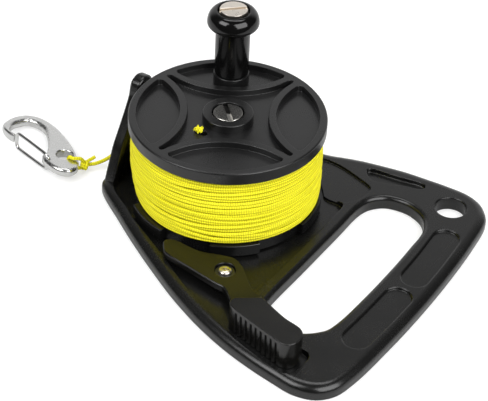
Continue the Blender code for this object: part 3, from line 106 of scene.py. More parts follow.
# Outlines of the frame, as shares of its length and width, the hand opening's as shares of its own
FRAME_OUTLINE_SHARES: Shares = (
    (0.0, 0.438), (0.009, 0.405), (0.13, 0.315), (0.235, 0.245), (0.336, 0.183), (0.427, 0.131),
    (0.536, 0.079), (0.642, 0.041), (0.732, 0.019), (0.811, 0.006), (0.875, 0.0), (0.93, 0.017),
    (0.966, 0.058), (0.983, 0.129), (0.996, 0.314), (1.0, 0.461), (0.998, 0.633), (0.988, 0.81),
    (0.973, 0.919), (0.952, 0.955), (0.926, 0.98), (0.88, 0.998), (0.812, 0.999), (0.747, 0.994),
    (0.681, 0.987), (0.615, 0.973), (0.555, 0.958), (0.507, 0.941), (0.46, 0.923), (0.244, 0.883),
    (0.13, 0.822), (0.009, 0.732), (0.0, 0.699), (0.0, 0.569))
HAND_HOLE_SHARES: Shares = (
    (0.0, 0.127), (0.0, 0.41), (0.0, 0.693), (0.0, 0.861), (0.051, 0.926), (0.177, 0.975),
    (0.314, 0.995), (0.554, 1.0), (0.817, 0.963), (0.958, 0.889), (0.991, 0.739), (1.0, 0.561),
    (0.988, 0.364), (0.952, 0.176), (0.904, 0.105), (0.835, 0.073), (0.772, 0.052), (0.695, 0.033),
    (0.575, 0.01), (0.41, 0.0), (0.246, 0.008), (0.126, 0.037), (0.03, 0.08))
WELL_SHARES: Shares = (
    (0.037, 0.425), (0.146, 0.341), (0.253, 0.277), (0.355, 0.218), (0.444, 0.164), (0.55, 0.112),
    (0.597, 0.089), (0.653, 0.066), (0.693, 0.051), (0.739, 0.038), (0.777, 0.029), (0.813, 0.022),
    (0.841, 0.024), (0.854, 0.036), (0.858, 0.062), (0.860, 0.092), (0.858, 0.110), (0.849, 0.122),
    (0.830, 0.127), (0.801, 0.132), (0.717, 0.143), (0.681, 0.152), (0.651, 0.175), (0.63, 0.201),
    (0.623, 0.226), (0.623, 0.705), (0.617, 0.725), (0.6, 0.73), (0.565, 0.73), (0.501, 0.759),
    (0.322, 0.848), (0.25, 0.85), (0.143, 0.788), (0.037, 0.708))
RECESS_SHARES: Shares = (
    (0.454, 0.86), (0.457, 0.881), (0.507, 0.887), (0.585, 0.867), (0.641, 0.845), (0.649, 0.832),
    (0.648, 0.794), (0.63, 0.749), (0.609, 0.734), (0.537, 0.727))
DEEP_RECESS_SHARES: Shares = (
    (0.595, 0.914), (0.601, 0.925), (0.681, 0.939), (0.759, 0.951), (0.769, 0.94), (0.76, 0.924),
    (0.717, 0.909), (0.669, 0.89), (0.639, 0.878), (0.609, 0.892))
POCKET_PATH_SHARES: Sequence[Shares] = (
    ((0.923, 0.762), (0.929, 0.657), (0.931, 0.559)),
    ((0.931, 0.457), (0.928, 0.353), (0.922, 0.248)))

# Outlines of the guide arm, as shares of its half width and its height
ARM_PROFILE_SHARES: Shares = (
    (0.990, 0.130), (0.965, 0.166), (0.830, 0.325), (0.716, 0.434), (0.560, 0.577), (0.420, 0.730),
    (0.345, 0.820), (0.305, 0.884), (0.240, 0.964), (0.060, 1.0), (-0.120, 0.964), (-0.180, 0.894),
    (-0.210, 0.836), (-0.328, 0.730), (-0.524, 0.577), (-0.716, 0.434), (-0.812, 0.329), (-0.956, 0.166),
    (-0.985, 0.130))
ARM_RECESS_SHARES: Shares = (
    (-0.840, 0.091), (0.840, 0.091), (0.820, 0.155), (0.580, 0.430), (0.330, 0.680), (0.215, 0.815),
    (0.150, 0.845), (-0.020, 0.845), (-0.070, 0.815), (-0.200, 0.680), (-0.560, 0.430), (-0.800, 0.155))

# Outlines of the lever, as offsets from its pivot in shares of its reach
LEVER_ARM_SHARES: Shares = (
    (-0.939, -0.094), (-1.012, 0.033), (-0.948, 0.124), (-0.5, 0.136), (-0.17, 0.252), (-0.027, 0.276),
    (0.148, 0.2), (0.291, 0.079), (0.527, -0.118), (0.685, -0.173), (0.818, -0.397), (0.636, -0.652),
    (0.515, -0.576), (0.379, -0.464), (0.188, -0.312), (0.036, -0.3), (-0.4, -0.239), (-0.858, -0.164))
PAD_SHARES: Shares = (
    (1.455, -0.976), (1.564, -0.952), (1.621, -0.867), (1.618, -0.697), (1.533, -0.606), (1.264, -0.548),
    (0.936, -0.433), (0.821, -0.397), (0.667, -0.5), (0.521, -0.618), (0.533, -0.715), (0.664, -0.788))
PAD_UNDERCUT_SHARES: Shares = (
    (0.364, -0.545), (0.758, -0.63), (1.121, -0.703), (1.455, -0.77), (1.879, -0.848), (1.879, -0.152),
    (0.364, -0.152))

# Outline of the snap hook, as shares of its length and width
HOOK_OUTLINE_SHARES: Shares = (
    (0.22, 0.46), (0.148, 0.57), (0.075, 0.658), (-0.036, 0.768), (-0.154, 0.864), (-0.295, 0.952),
    (-0.413, 0.996), (-0.523, 1.0), (-0.625, 0.938), (-0.692, 0.816), (-0.724, 0.629), (-0.72, 0.456),
    (-0.692, 0.287), (-0.642, 0.202), (-0.57, 0.154), (-0.51, 0.143), (-0.473, 0.162), (-0.473, 0.202),
    (-0.552, 0.228), (-0.606, 0.324), (-0.63, 0.463), (-0.625, 0.574), (-0.602, 0.728), (-0.55, 0.779),
    (-0.478, 0.798), (-0.398, 0.772), (-0.304, 0.665), (-0.195, 0.489), (-0.111, 0.312), (-0.073, 0.202),
    (-0.073, 0.132), (-0.024, 0.051), (0.079, 0.004), (0.148, 0.004), (0.221, 0.048), (0.274, 0.154),
    (0.276, 0.309))

# Route of the free line, from the winding through the guide hole to the knot
LEAD_ROUTE = (
    (-44.6 * MM, 9.5 * MM, 25.0 * MM), (-45.4 * MM, 6.0 * MM, 24.4 * MM),
    (-47.0 * MM, 2.6 * MM, 23.3 * MM), (-50.4 * MM, 0.2 * MM, 21.9 * MM),
    (-54.0 * MM, -1.2 * MM, 19.2 * MM), (-57.0 * MM, -2.6 * MM, 14.6 * MM),
    (-59.4 * MM, -4.0 * MM, 9.0 * MM), (-61.2 * MM, -6.0 * MM, 5.2 * MM),
    (-63.1 * MM, -9.6 * MM, 3.8 * MM), (-65.4 * MM, -13.2 * MM, 3.1 * MM),
    (-66.9 * MM, -14.8 * MM, 3.0 * MM))


class Shade(Enum):
    """Which way a piece is shaded."""

    SMOOTH = "smooth"
    CREASED = "creased"


class Field:
    """A float output of a shader node, with arithmetic that adds the nodes it needs."""

    def __init__(self, graph: "Graph", socket: Socket) -> None:
        """Wrap a socket of a graph."""
        self.graph = graph
        self.socket = socket

    def _math(self, operation: str, *operands: "Field | float") -> "Field":
        """Return the result of a Math node.

        Args:
            operation: The node's operation.
            operands: Fields or numbers, in the node's order.

        Returns:
            The node's output.
        """
        node = self.graph.add("ShaderNodeMath", {"operation": operation}, dict(enumerate(operands)))
        return Field(self.graph, node.outputs[0])

    def __add__(self, other: "Field | float") -> "Field":
        """Return the sum."""
        return self._math("ADD", self, other)

    def __radd__(self, other: float) -> "Field":
        """Return the sum."""
        return self._math("ADD", other, self)

    def __sub__(self, other: "Field | float") -> "Field":
        """Return the difference."""
        return self._math("SUBTRACT", self, other)

    def __rsub__(self, other: float) -> "Field":
        """Return the difference, the other way round."""
        return self._math("SUBTRACT", other, self)

    def __mul__(self, other: "Field | float") -> "Field":
        """Return the product."""
        return self._math("MULTIPLY", self, other)

    def __rmul__(self, other: float) -> "Field":
        """Return the product."""
        return self._math("MULTIPLY", other, self)

    def sine(self) -> "Field":
        """Return the sine."""
        return self._math("SINE", self)

    def larger(self, other: "Field | float") -> "Field":
        """Return the larger of two."""
        return self._math("MAXIMUM", self, other)

    def ramp(self, low: float, high: float) -> "Field":
        """Return a smooth step from 0 to 1.

        Args:
            low: Where it leaves 0.
            high: Where it reaches 1.

        Returns:
            The step.
        """
        inputs = {"Value": self, "From Min": low, "From Max": high}
        node = self.graph.add("ShaderNodeMapRange", {"interpolation_type": "SMOOTHSTEP"}, inputs)
        return Field(self.graph, node.outputs[0])


class Graph:
    """The node tree of a material or the world."""

    def __init__(self, tree: bpy.types.NodeTree) -> None:
        """Empty the tree."""
        self.tree = tree
        tree.nodes.clear()

    def add(self, kind: str, settings: Mapping[str, object] | None = None,
            inputs: Mapping[int | str, object] | None = None) -> bpy.types.Node:
        """Add a node.

        Args:
            kind: The node's type.
            settings: Its properties, set first.
            inputs: Fields, sockets or values for its inputs, by index or name.

        Returns:
            The node.
        """
        node = self.tree.nodes.new(kind)
        for name, setting in (settings or {}).items():
            setattr(node, name, setting)
        for key, item in (inputs or {}).items():
            source = item.socket if isinstance(item, Field) else item
            if isinstance(source, Socket):
                self.tree.links.new(source, node.inputs[key])
            else:
                node.inputs[key].default_value = source
        return node

    def place(self, stretch: Triple = (1.0, 1.0, 1.0)) -> Socket:
        """Return the place on the piece.

        Args:
            stretch: What each axis is scaled by.

        Returns:
            The place in metres, scaled.
        """
        spot = self.add("ShaderNodeTexCoord").outputs["Object"]
        inputs = {0: spot, 1: stretch}
        return self.add("ShaderNodeVectorMath", {"operation": "MULTIPLY"}, inputs).outputs[0]

    def part(self, vector: Socket, index: int) -> Field:
        """Return one part of a vector, by its index."""
        return Field(self, self.add("ShaderNodeSeparateXYZ", None, {0: vector}).outputs[index])

    def measure(self, operation: str, *vectors: object) -> Field:
        """Return the number that a Vector Math node finds for its vectors."""
        node = self.add("ShaderNodeVectorMath", {"operation": operation}, dict(enumerate(vectors)))
        return Field(self, node.outputs["Value"])

    def noise(self, size: float, detail: float = 2.0, roughness: float = 0.5,
              stretch: Triple = (1.0, 1.0, 1.0)) -> Field:
        """Return noise from 0 to 1.

        Args:
            size: The size of its features in metres.
            detail: How many finer layers it has.
            roughness: How strong they are.
            stretch: What the place is scaled by along each axis.

        Returns:
            The noise.
        """
        inputs = {"Vector": self.place(stretch), "Scale": 1.0 / size, "Detail": detail,
                  "Roughness": roughness}
        return Field(self, self.add("ShaderNodeTexNoise", None, inputs).outputs[0])

    def blend(self, factor: Field, first: Colour | Socket, second: Colour) -> Socket:
        """Return a colour between two.

        Args:
            factor: 0 for the first colour, 1 for the second.
            first: A colour, or a link that carries one.
            second: A colour.

        Returns:
            The colour.
        """
        start = first if isinstance(first, Socket) else (*first, 1.0)
        inputs = {0: factor, 6: start, 7: (*second, 1.0)}
        return self.add("ShaderNodeMix", {"data_type": "RGBA"}, inputs).outputs[2]

    def bump(self, height: Field, depth: float) -> Socket:
        """Return a normal bumped by a height whose full range is a depth in metres."""
        inputs = {"Height": height, "Distance": depth, "Strength": 1.0}
        return self.add("ShaderNodeBump", None, inputs).outputs[0]

    def glow(self, strength: float) -> Socket:
        """Return a shader that gives off white light."""
        return self.add("ShaderNodeEmission", None, {"Color": WHITE, "Strength": strength}).outputs[0]

    def seen_directly(self, mirrored: float) -> Field:
        """Return how much of a glow a ray sees.

        Args:
            mirrored: The share that mirrors and glass show of it.

        Returns:
            1 for the camera's rays, that share for those two, and 0 for other rays.
        """
        ray = self.add("ShaderNodeLightPath")
        glossy = Field(self, ray.outputs["Is Glossy Ray"]) * mirrored
        clear = Field(self, ray.outputs["Is Transmission Ray"]) * mirrored
        return Field(self, ray.outputs["Is Camera Ray"]).larger(glossy).larger(clear)

    def surface(self, inputs: Mapping[int | str, object]) -> None:
        """End the graph in a Principled shader with the given inputs."""
        shader = self.add("ShaderNodeBsdfPrincipled", None, inputs)
        self.add("ShaderNodeOutputMaterial", None, {"Surface": shader.outputs[0]})


def new_graph(name: str) -> tuple[Material, Graph]:
    """Return a new material and its graph.

    Args:
        name: The material's name.

    Returns:
        The material and its empty graph.
    """
    material = bpy.data.materials.new(name)
    material.use_nodes = True
    return material, Graph(material.node_tree)


def scaled(colour: Colour, factor: float) -> Colour:
    """Return a colour made darker or lighter."""
    return tuple(part * factor for part in colour)


@dataclass(frozen=True)
class Plastic:
    """Black moulded plastic with a fine grain, slight flow marks and hairline scuffs."""

    colour: Colour = (0.012, 0.012, 0.012)
    shades: Pair = (0.8, 1.25)
    roughness: float = 0.34
    specular: float = 0.5
    flow: float = 14.0 * MM
    flow_spread: float = 0.10
    grain: float = 0.45 * MM
    grain_depth: float = 0.012 * MM
    grain_spread: float = 0.08
    scuff: float = 2.2 * MM
    scuff_stretch: Triple = (1.0, 0.12, 1.0)
    scuff_from: Pair = (0.60, 0.74)
    scuff_dulling: float = 0.06

    def material(self, name: str) -> Material:
        """Return the material.

        Args:
            name: The material's name.

        Returns:
            The material.
        """
        material, graph = new_graph(name)
        flow = graph.noise(self.flow, 3.0)
        grain = graph.noise(self.grain, 2.0, 0.6)
        scuff = graph.noise(self.scuff, 5.0, 0.7, self.scuff_stretch).ramp(*self.scuff_from)
        uneven = self.roughness + (flow - 0.5) * self.flow_spread + (grain - 0.5) * self.grain_spread
        darker, lighter = (scaled(self.colour, shade) for shade in self.shades)
        graph.surface({
            "Base Color": graph.blend(flow, darker, lighter),
            "Roughness": uneven + scuff * self.scuff_dulling,
            "Specular IOR Level": self.specular,
            "Normal": graph.bump(grain, self.grain_depth)})
        return material


@dataclass(frozen=True)
class Metal:
    """Plated or stainless metal with fine tool marks."""

    colour: Colour = (0.62, 0.62, 0.60)
    shades: Pair = (0.90, 1.06)
    roughness: float = 0.25
    spread: float = 0.12
    cloud: float = 3.0 * MM
    marks: float = 0.35 * MM
    mark_stretch: Triple = (1.0, 0.35, 1.0)
    mark_depth: float = 0.006 * MM

    def material(self, name: str) -> Material:
        """Return the material.

        Args:
            name: The material's name.

        Returns:
            The material.
        """
        material, graph = new_graph(name)
        cloud = graph.noise(self.cloud, 3.0)
        marks = graph.noise(self.marks, 4.0, 0.65, self.mark_stretch)
        darker, lighter = (scaled(self.colour, shade) for shade in self.shades)
        graph.surface({
            "Base Color": graph.blend(cloud, darker, lighter),
            "Metallic": 1.0,
            "Roughness": self.roughness + (cloud - 0.5) * self.spread + (marks - 0.5) * self.spread,
            "Normal": graph.bump(marks, self.mark_depth)})
        return material


@dataclass(frozen=True)
class WornScrew:
    """Steel screw with a dull, pitted face that is bright in its slot and along its chamfer, with painted
    shadow past the slot's middle.
    """

    bright: Colour = (0.85, 0.83, 0.78)
    dull: Colour = (0.060, 0.060, 0.058)
    roughness: float = 0.30
    face_dulling: float = 0.12
    pit_spread: float = 0.2
    face_from: Pair = (52.72 * MM, 52.82 * MM)
    pits: float = 0.5 * MM
    pit_depth: float = 0.03 * MM
    pit_from: Pair = (0.40, 0.60)
    least_wear: float = 0.80
    # Painted shadow: a near-black colour over the slot and chamfer from just past the middle towards the
    # slot's far end
    slot_shadow: Colour = (0.006, 0.006, 0.006)
    slot_shadow_cover: float = 0.95
    slot_shadow_way: Triple = (-0.52, 0.85, 0.0)
    slot_shadow_from: Pair = (0.1 * MM, 0.6 * MM)

    def material(self, name: str) -> Material:
        """Return the material.

        Args:
            name: The material's name.

        Returns:
            The material.
        """
        material, graph = new_graph(name)
        face = graph.part(graph.place(), 2).ramp(*self.face_from)
        # Painted shadow in the slot: below the face, darker from just past the middle towards the slot's
        # far end
        aside = graph.measure("DOT_PRODUCT", graph.place(), self.slot_shadow_way)
        slot_shadowed = (1.0 - face) * aside.ramp(*self.slot_shadow_from)
        pits = graph.noise(self.pits, 3.0, 0.7)
        worn = face * (self.least_wear + pits.ramp(*self.pit_from) * (1.0 - self.least_wear))
        steel = graph.blend(worn, self.bright, self.dull)
        graph.surface({
            "Base Color": graph.blend(slot_shadowed * self.slot_shadow_cover, steel, self.slot_shadow),
            "Metallic": 1.0,
            "Roughness": self.roughness + face * self.face_dulling + (pits - 0.5) * self.pit_spread,
            "Normal": graph.bump(pits, self.pit_depth)})
        return material


@dataclass(frozen=True)
class Braid:
    """Braided line: strands that cross along the tube's length, with painted shade between them and where
    turns lie side by side.
    """

    colour: Colour = (0.95, 0.90, 0.022)
    # Painted shade: the darker colour in the hollows between the strands' crowns
    valley_shade: Colour = (0.60, 0.53, 0.006)
    crown_from: Pair = (0.30, 0.72)
    carrier: float = 2.1 * MM
    strands: float = 3.0
    depth: float = 0.16 * MM
    roughness: float = 0.62
    crown_dulling: float = 0.1
    specular: float = 0.25
    soil: float = 9.0 * MM
    soil_shade: float = 0.80
    soil_cover: float = 0.3
    soil_from: Pair = (0.40, 0.75)
    # Painted shade on the sides of wound turns, where they lie against their neighbours
    groove_shade: Colour = (0.42, 0.36, 0.001)
    groove_shade_cover: float = 0.34
    groove_shade_from: Pair = (-0.20, 0.55)
    wound: bool = False

    def material(self, name: str) -> Material:
        """Return the material.

        Args:
            name: The material's name.

        Returns:
            The material.
        """
        material, graph = new_graph(name)
        spot = graph.add("ShaderNodeUVMap", {"uv_map": TUBE_MAP}).outputs[0]
        along = graph.part(spot, 0) * (FULL_TURN / self.carrier)
        turn = graph.part(spot, 1) * FULL_TURN
        around = turn * self.strands
        weave = (along + around).sine() * (along - around).sine() * 0.5 + 0.5
        crown = weave.ramp(*self.crown_from)
        soil = graph.noise(self.soil, 3.0).ramp(*self.soil_from)
        # Painted shade in the weave's hollows: the valleys between the crowns take the darker colour
        base = graph.blend(crown, self.valley_shade, self.colour)
        if self.wound:
            # Painted shade: the sides of each wound turn that face its neighbours take the darker groove
            # colour
            touching_side = 1.0 - (turn + QUARTER_TURN).sine().ramp(*self.groove_shade_from)
            base = graph.blend(touching_side * self.groove_shade_cover, base, self.groove_shade)
        graph.surface({
            "Base Color": graph.blend(soil * self.soil_cover, base, scaled(self.colour, self.soil_shade)),
            "Roughness": self.roughness + crown * self.crown_dulling,
            "Specular IOR Level": self.specular,
            "Normal": graph.bump(weave, self.depth)})
        return material


@dataclass(frozen=True)
class Plain:
    """A bearing, bush or washer that hardly shows: slight cloudiness only."""

    colour: Colour = (0.8, 0.8, 0.76)
    shade: float = 0.9
    roughness: float = 0.5
    spread: float = 0.1
    metallic: float = 0.0
    cloud: float = 1.5 * MM

    def material(self, name: str) -> Material:
        """Return the material.

        Args:
            name: The material's name.

        Returns:
            The material.
        """
        material, graph = new_graph(name)
        cloud = graph.noise(self.cloud, 2.0)
        graph.surface({
            "Base Color": graph.blend(cloud, scaled(self.colour, self.shade), self.colour),
            "Metallic": self.metallic,
            "Roughness": self.roughness + (cloud - 0.5) * self.spread})
        return material


def through(points: Iterable[Sequence[float]], steps: int, closed: bool) -> Outline:
    """Return points on a centripetal Catmull-Rom curve.

    Args:
        points: The points that it goes through.
        steps: Points for each span.
        closed: Whether the last point joins the first.

    Returns:
        The points of the curve.
    """
    knots = [Vector(point) for point in points]
    count = len(knots)
    out = []
    for span in range(count if closed else count - 1):
        near = knots[span]
        far = knots[(span + 1) % count]
        before = knots[span - 1] if closed or span > 0 else near * 2 - far
        after = knots[(span + 2) % count] if closed or span + 2 < count else far * 2 - near
        first = (near - before).length ** 0.5
        middle = (far - near).length ** 0.5
        last = (after - far).length ** 0.5
        chord = (far - near) / middle
        leave = ((near - before) / first - (far - before) / (first + middle) + chord) * middle
        arrive = (chord - (after - near) / (middle + last) + (after - far) / last) * middle
        for step in range(steps):
            t = step / steps
            out.append(near * (2 * t ** 3 - 3 * t ** 2 + 1) + leave * (t ** 3 - 2 * t ** 2 + t)
                       + far * (3 * t ** 2 - 2 * t ** 3) + arrive * (t ** 3 - t ** 2))
    if not closed:
        out.append(knots[-1])
    return out


def arc(centre: Sequence[float], radius: float, start: float, end: float, steps: int) -> Outline:
    """Return points on an arc.

    Args:
        centre: Its centre.
        radius: Its radius.
        start: The angle of its first point in degrees.
        end: The angle of its last point in degrees.
        steps: How many spans it has.

    Returns:
        The points, both ends included.
    """
    out = []
    for step in range(steps + 1):
        angle = math.radians(start + (end - start) * step / steps)
        out.append(Vector((centre[0] + radius * math.cos(angle), centre[1] + radius * math.sin(angle))))
    return out


def circle(centre: Sequence[float], radius: float, steps: int) -> Outline:
    """Return the points of a circle."""
    return arc(centre, radius, 0.0, 360.0, steps)[:-1]


def rectangle(low: Sequence[float], high: Sequence[float]) -> Outline:
    """Return the corners of a rectangle."""
    return [Vector(low), Vector((high[0], low[1])), Vector(high), Vector((low[0], high[1]))]


def lifted(outline: Outline, height: float, matrix: Matrix | None = None) -> list[Vector]:
    """Return a flat outline at a height.

    Args:
        outline: The flat points.
        height: The height in the matrix's frame.
        matrix: A frame of its own, where it has one.

    Returns:
        The points in space.
    """
    ring = [Vector((point.x, point.y, height)) for point in outline]
    return ring if matrix is None else [matrix @ point for point in ring]


def polar(reach: float, angle: float, height: float) -> Vector:
    """Return a point by its distance from the spool's axis, its angle and its height."""
    return Vector((reach * math.cos(angle), reach * math.sin(angle), height))


def heading(start: Vector, end: Vector) -> float:
    """Return the direction in degrees from one flat point to another."""
    return math.degrees(math.atan2(end.y - start.y, end.x - start.x))


def counter_clockwise(outline: Outline) -> Outline:
    """Return an outline with its points in counter-clockwise order.

    Args:
        outline: The flat points.

    Returns:
        The same points, turned round if need be.
    """
    total = 0.0
    for index, point in enumerate(outline):
        before = outline[index - 1]
        total += before[0] * point[1] - point[0] * before[1]
    return outline if total > 0 else list(reversed(outline))


def flat_array(outline: Outline) -> np.ndarray:
    """Return flat points as an array with a row for each."""
    return np.array([(point[0], point[1]) for point in outline])


def unit(rows: np.ndarray) -> np.ndarray:
    """Return rows scaled to a length of 1."""
    return rows / np.linalg.norm(rows, axis=1)[:, None]


def chords(points: np.ndarray) -> tuple[np.ndarray, np.ndarray]:
    """Return the directions along and into a counter-clockwise loop at each point.

    Args:
        points: The loop's points.

    Returns:
        The direction from the point before to the point after, and the one a quarter turn to its left.
    """
    along = unit(np.roll(points, -1, axis=0) - np.roll(points, 1, axis=0))
    return along, np.stack([-along[:, 1], along[:, 0]], axis=1)


def grown(outline: Outline, distance: float) -> Outline:
    """Return an outline with every side moved.

    Args:
        outline: Points in counter-clockwise order.
        distance: How far outwards, or inwards if below zero.

    Returns:
        The moved points.
    """
    least_stretch = 0.6
    points = flat_array(outline)
    ahead = unit(np.roll(points, -1, axis=0) - points)
    normal = ahead + np.roll(ahead, 1, axis=0)
    normal = unit(np.stack([normal[:, 1], -normal[:, 0]], axis=1))
    across = np.stack([ahead[:, 1], -ahead[:, 0]], axis=1)
    stretch = np.maximum((normal * across).sum(axis=1), least_stretch)
    moved = points + normal * (distance / stretch)[:, None]
    return [Vector(point) for point in moved]


def worn_back(outline: Outline, distance: float) -> Outline:
    """Return an outline moved inwards in small steps, so that tight corners stay clean.

    Args:
        outline: Points in counter-clockwise order.
        distance: How far inwards.

    Returns:
        The moved points, kept evenly apart.
    """
    longest_step = 0.25 * MM
    evening = 0.5
    points = flat_array(outline)
    count = max(1, round(distance / longest_step))
    for _ in range(count):
        along, touching_side = chords(points)
        points = points + touching_side * (distance / count)
        middle = (np.roll(points, -1, axis=0) + np.roll(points, 1, axis=0)) / 2 - points
        points = points + along * (middle * along).sum(axis=1)[:, None] * evening
    return [Vector(point) for point in points]


def limb_radii(outline: Outline) -> np.ndarray:
    """Return how thick a limb is at each point of its outline.

    Args:
        outline: Points in counter-clockwise order.

    Returns:
        The radii of the largest circles that touch the outline there from inside.
    """
    shallow = 0.02
    tiny = 1e-9
    points = flat_array(outline)
    touching_side = chords(points)[1]
    apart = points[None, :, :] - points[:, None, :]
    depth = (apart * touching_side[:, None, :]).sum(axis=2)
    span = (apart ** 2).sum(axis=2)
    facing = depth > shallow * np.sqrt(span) + tiny
    return np.where(facing, span / np.maximum(2 * depth, tiny), 1.0).min(axis=1)


def worn_limbs(outline: Outline, limits: np.ndarray, share: float) -> Outline:
    """Return an outline moved inwards by a share of each point's own limit.

    Args:
        outline: Points in counter-clockwise order.
        limits: How far each point may move.
        share: The share of that, from 0 to 1.

    Returns:
        The moved points.
    """
    points = flat_array(outline)
    moved = points + chords(points)[1] * (limits * share)[:, None]
    return [Vector(point) for point in moved]


def crossing(inside: Vector, outside: Vector, radius: float) -> Vector:
    """Return where the line between two points leaves a circle round the spool's axis.

    Args:
        inside: A point in the circle.
        outside: A point outside it.
        radius: The circle's radius.

    Returns:
        The crossing.
    """
    halvings = 30
    near = 0.0
    far = 1.0
    for _ in range(halvings):
        middle = (near + far) / 2
        if (inside + (outside - inside) * middle).length < radius:
            near = middle
        else:
            far = middle
    return inside + (outside - inside) * near


def joined_with_circle(loop: Outline, radius: float, steps: int) -> Outline:
    """Return the outline of a loop and a circle round the spool's axis taken together.

    Args:
        loop: An outline that crosses the circle.
        radius: The circle's radius.
        steps: How many spans the whole circle has.

    Returns:
        The outline.
    """
    points = counter_clockwise(loop)
    count = len(points)
    runs = []
    for index in range(count):
        if points[index].length >= radius > points[index - 1].length:
            run = [crossing(points[index - 1], points[index], radius)]
            step = index
            while points[step % count].length >= radius:
                run.append(points[step % count])
                step += 1
            run.append(crossing(points[step % count], points[(step - 1) % count], radius))
            runs.append(run)
    runs.sort(key=lambda run: math.atan2(run[0].y, run[0].x))
    out = []
    for index, run in enumerate(runs):
        out += run
        after = runs[(index + 1) % len(runs)]
        start = math.degrees(math.atan2(run[-1].y, run[-1].x))
        end = math.degrees(math.atan2(after[0].y, after[0].x))
        end += 360.0 if end < start else 0.0
        out += arc(AXIS, radius, start, end, max(1, round((end - start) * steps / 360.0)))[1:-1]
    return out


def around(path: Outline, half_width: float, steps: int = 12) -> Outline:
    """Return the outline of a slot with round ends.

    Args:
        path: The points of its middle line.
        half_width: Half its width.
        steps: How many spans each end has.

    Returns:
        The outline.
    """
    left = []
    right = []
    for index, point in enumerate(path):
        along = (path[min(index + 1, len(path) - 1)] - path[max(index - 1, 0)]).normalized()
        side = Vector((-along.y, along.x)) * half_width
        left.append(point + side)
        right.append(point - side)
    start = heading(path[0], left[0])
    end = heading(path[-1], right[-1])
    first_cap = arc(path[0], half_width, start, start + 180.0, steps)
    last_cap = arc(path[-1], half_width, end, end + 180.0, steps)
    return first_cap[:-1] + right[:-1] + last_cap[:-1] + list(reversed(left))[:-1]


def lofted(name: str, rings: Sequence[Sequence[Vector]], closed: bool = False) -> Piece:
    """Return a mesh through rings of equal point count.

    Args:
        name: The object's name.
        rings: The rings, in order.
        closed: Whether the last ring joins the first. Otherwise both ends are capped.

    Returns:
        The object, linked to the scene.
    """
    count = len(rings[0])
    points = [tuple(point) for ring in rings for point in ring]
    faces = []
    for layer in range(len(rings) if closed else len(rings) - 1):
        low = layer * count
        high = (layer + 1) % len(rings) * count
        for index in range(count):
            after = (index + 1) % count
            faces.append((low + index, low + after, high + after, high + index))
    if not closed:
        top = (len(rings) - 1) * count
        faces.append(tuple(reversed(range(count))))
        faces.append(tuple(range(top, top + count)))
    mesh = bpy.data.meshes.new(name)
    mesh.from_pydata(points, [], faces)
    body = bmesh.new()
    body.from_mesh(mesh)
    bmesh.ops.recalc_face_normals(body, faces=body.faces)
    body.to_mesh(mesh)
    body.free()
    item = bpy.data.objects.new(name, mesh)
    bpy.context.scene.collection.objects.link(item)
    return item


def prism(name: str, outline: Outline, profile: Profile, matrix: Matrix | None = None) -> Piece:
    """Return a solid whose outline grows and shrinks with its height.

    Args:
        name: The object's name.
        outline: The flat outline.
        profile: Pairs of how far the outline is moved outwards, and the height there.
        matrix: Where the solid's own frame lies.

    Returns:
        The object.
    """
    loop = counter_clockwise([Vector((point[0], point[1])) for point in outline])
    rings = []
    for outset, height in profile:
        rings.append(lifted(grown(loop, outset) if outset else loop, height, matrix))
    return lofted(name, rings)


def cylinder(name: str, centre: Sequence[float], radius: float, heights: Pair, steps: int,
             edge: float = 0.0) -> Piece:
    """Return an upright cylinder.

    Args:
        name: The object's name.
        centre: Where its axis stands.
        radius: Its radius.
        heights: The heights of its ends.
        steps: How many sides it has.
        edge: The radius of its top edge, where that is rounded.

    Returns:
        The object.
    """
    bottom, top = heights
    profile = [(0.0, bottom)]
    profile += quarter((0.0, top - edge), (-edge, top), 4) if edge else [(0.0, top)]
    return prism(name, circle(centre, radius, steps), profile)


def turned(name: str, profile: Profile, steps: int, centre: Sequence[float],
           closed: bool = False) -> Piece:
    """Return a turned solid.

    Args:
        name: The object's name.
        profile: Points (radius, height).
        steps: How many sides it has.
        centre: Where its axis stands.
        closed: Whether the profile's last point joins its first.

    Returns:
        The object.
    """
    rings = [lifted(circle(centre, radius, steps), height) for radius, height in profile]
    return lofted(name, rings, closed)


def quarter(start: Pair, end: Pair, steps: int,
            bulge_first: bool = True) -> list[Pair]:
    """Return a quarter of an ellipse between two points of a profile.

    Args:
        start: Its first point.
        end: Its last point.
        steps: How many spans it has.
        bulge_first: Whether it leaves along the height. Otherwise it leaves along the radius.

    Returns:
        The points, both ends included.
    """
    out = []
    for step in range(steps + 1):
        angle = QUARTER_TURN * step / steps
        first = math.sin(angle)
        second = 1.0 - math.cos(angle)
        across, up = (second, first) if bulge_first else (first, second)
        out.append((start[0] + (end[0] - start[0]) * across, start[1] + (end[1] - start[1]) * up))
    return out


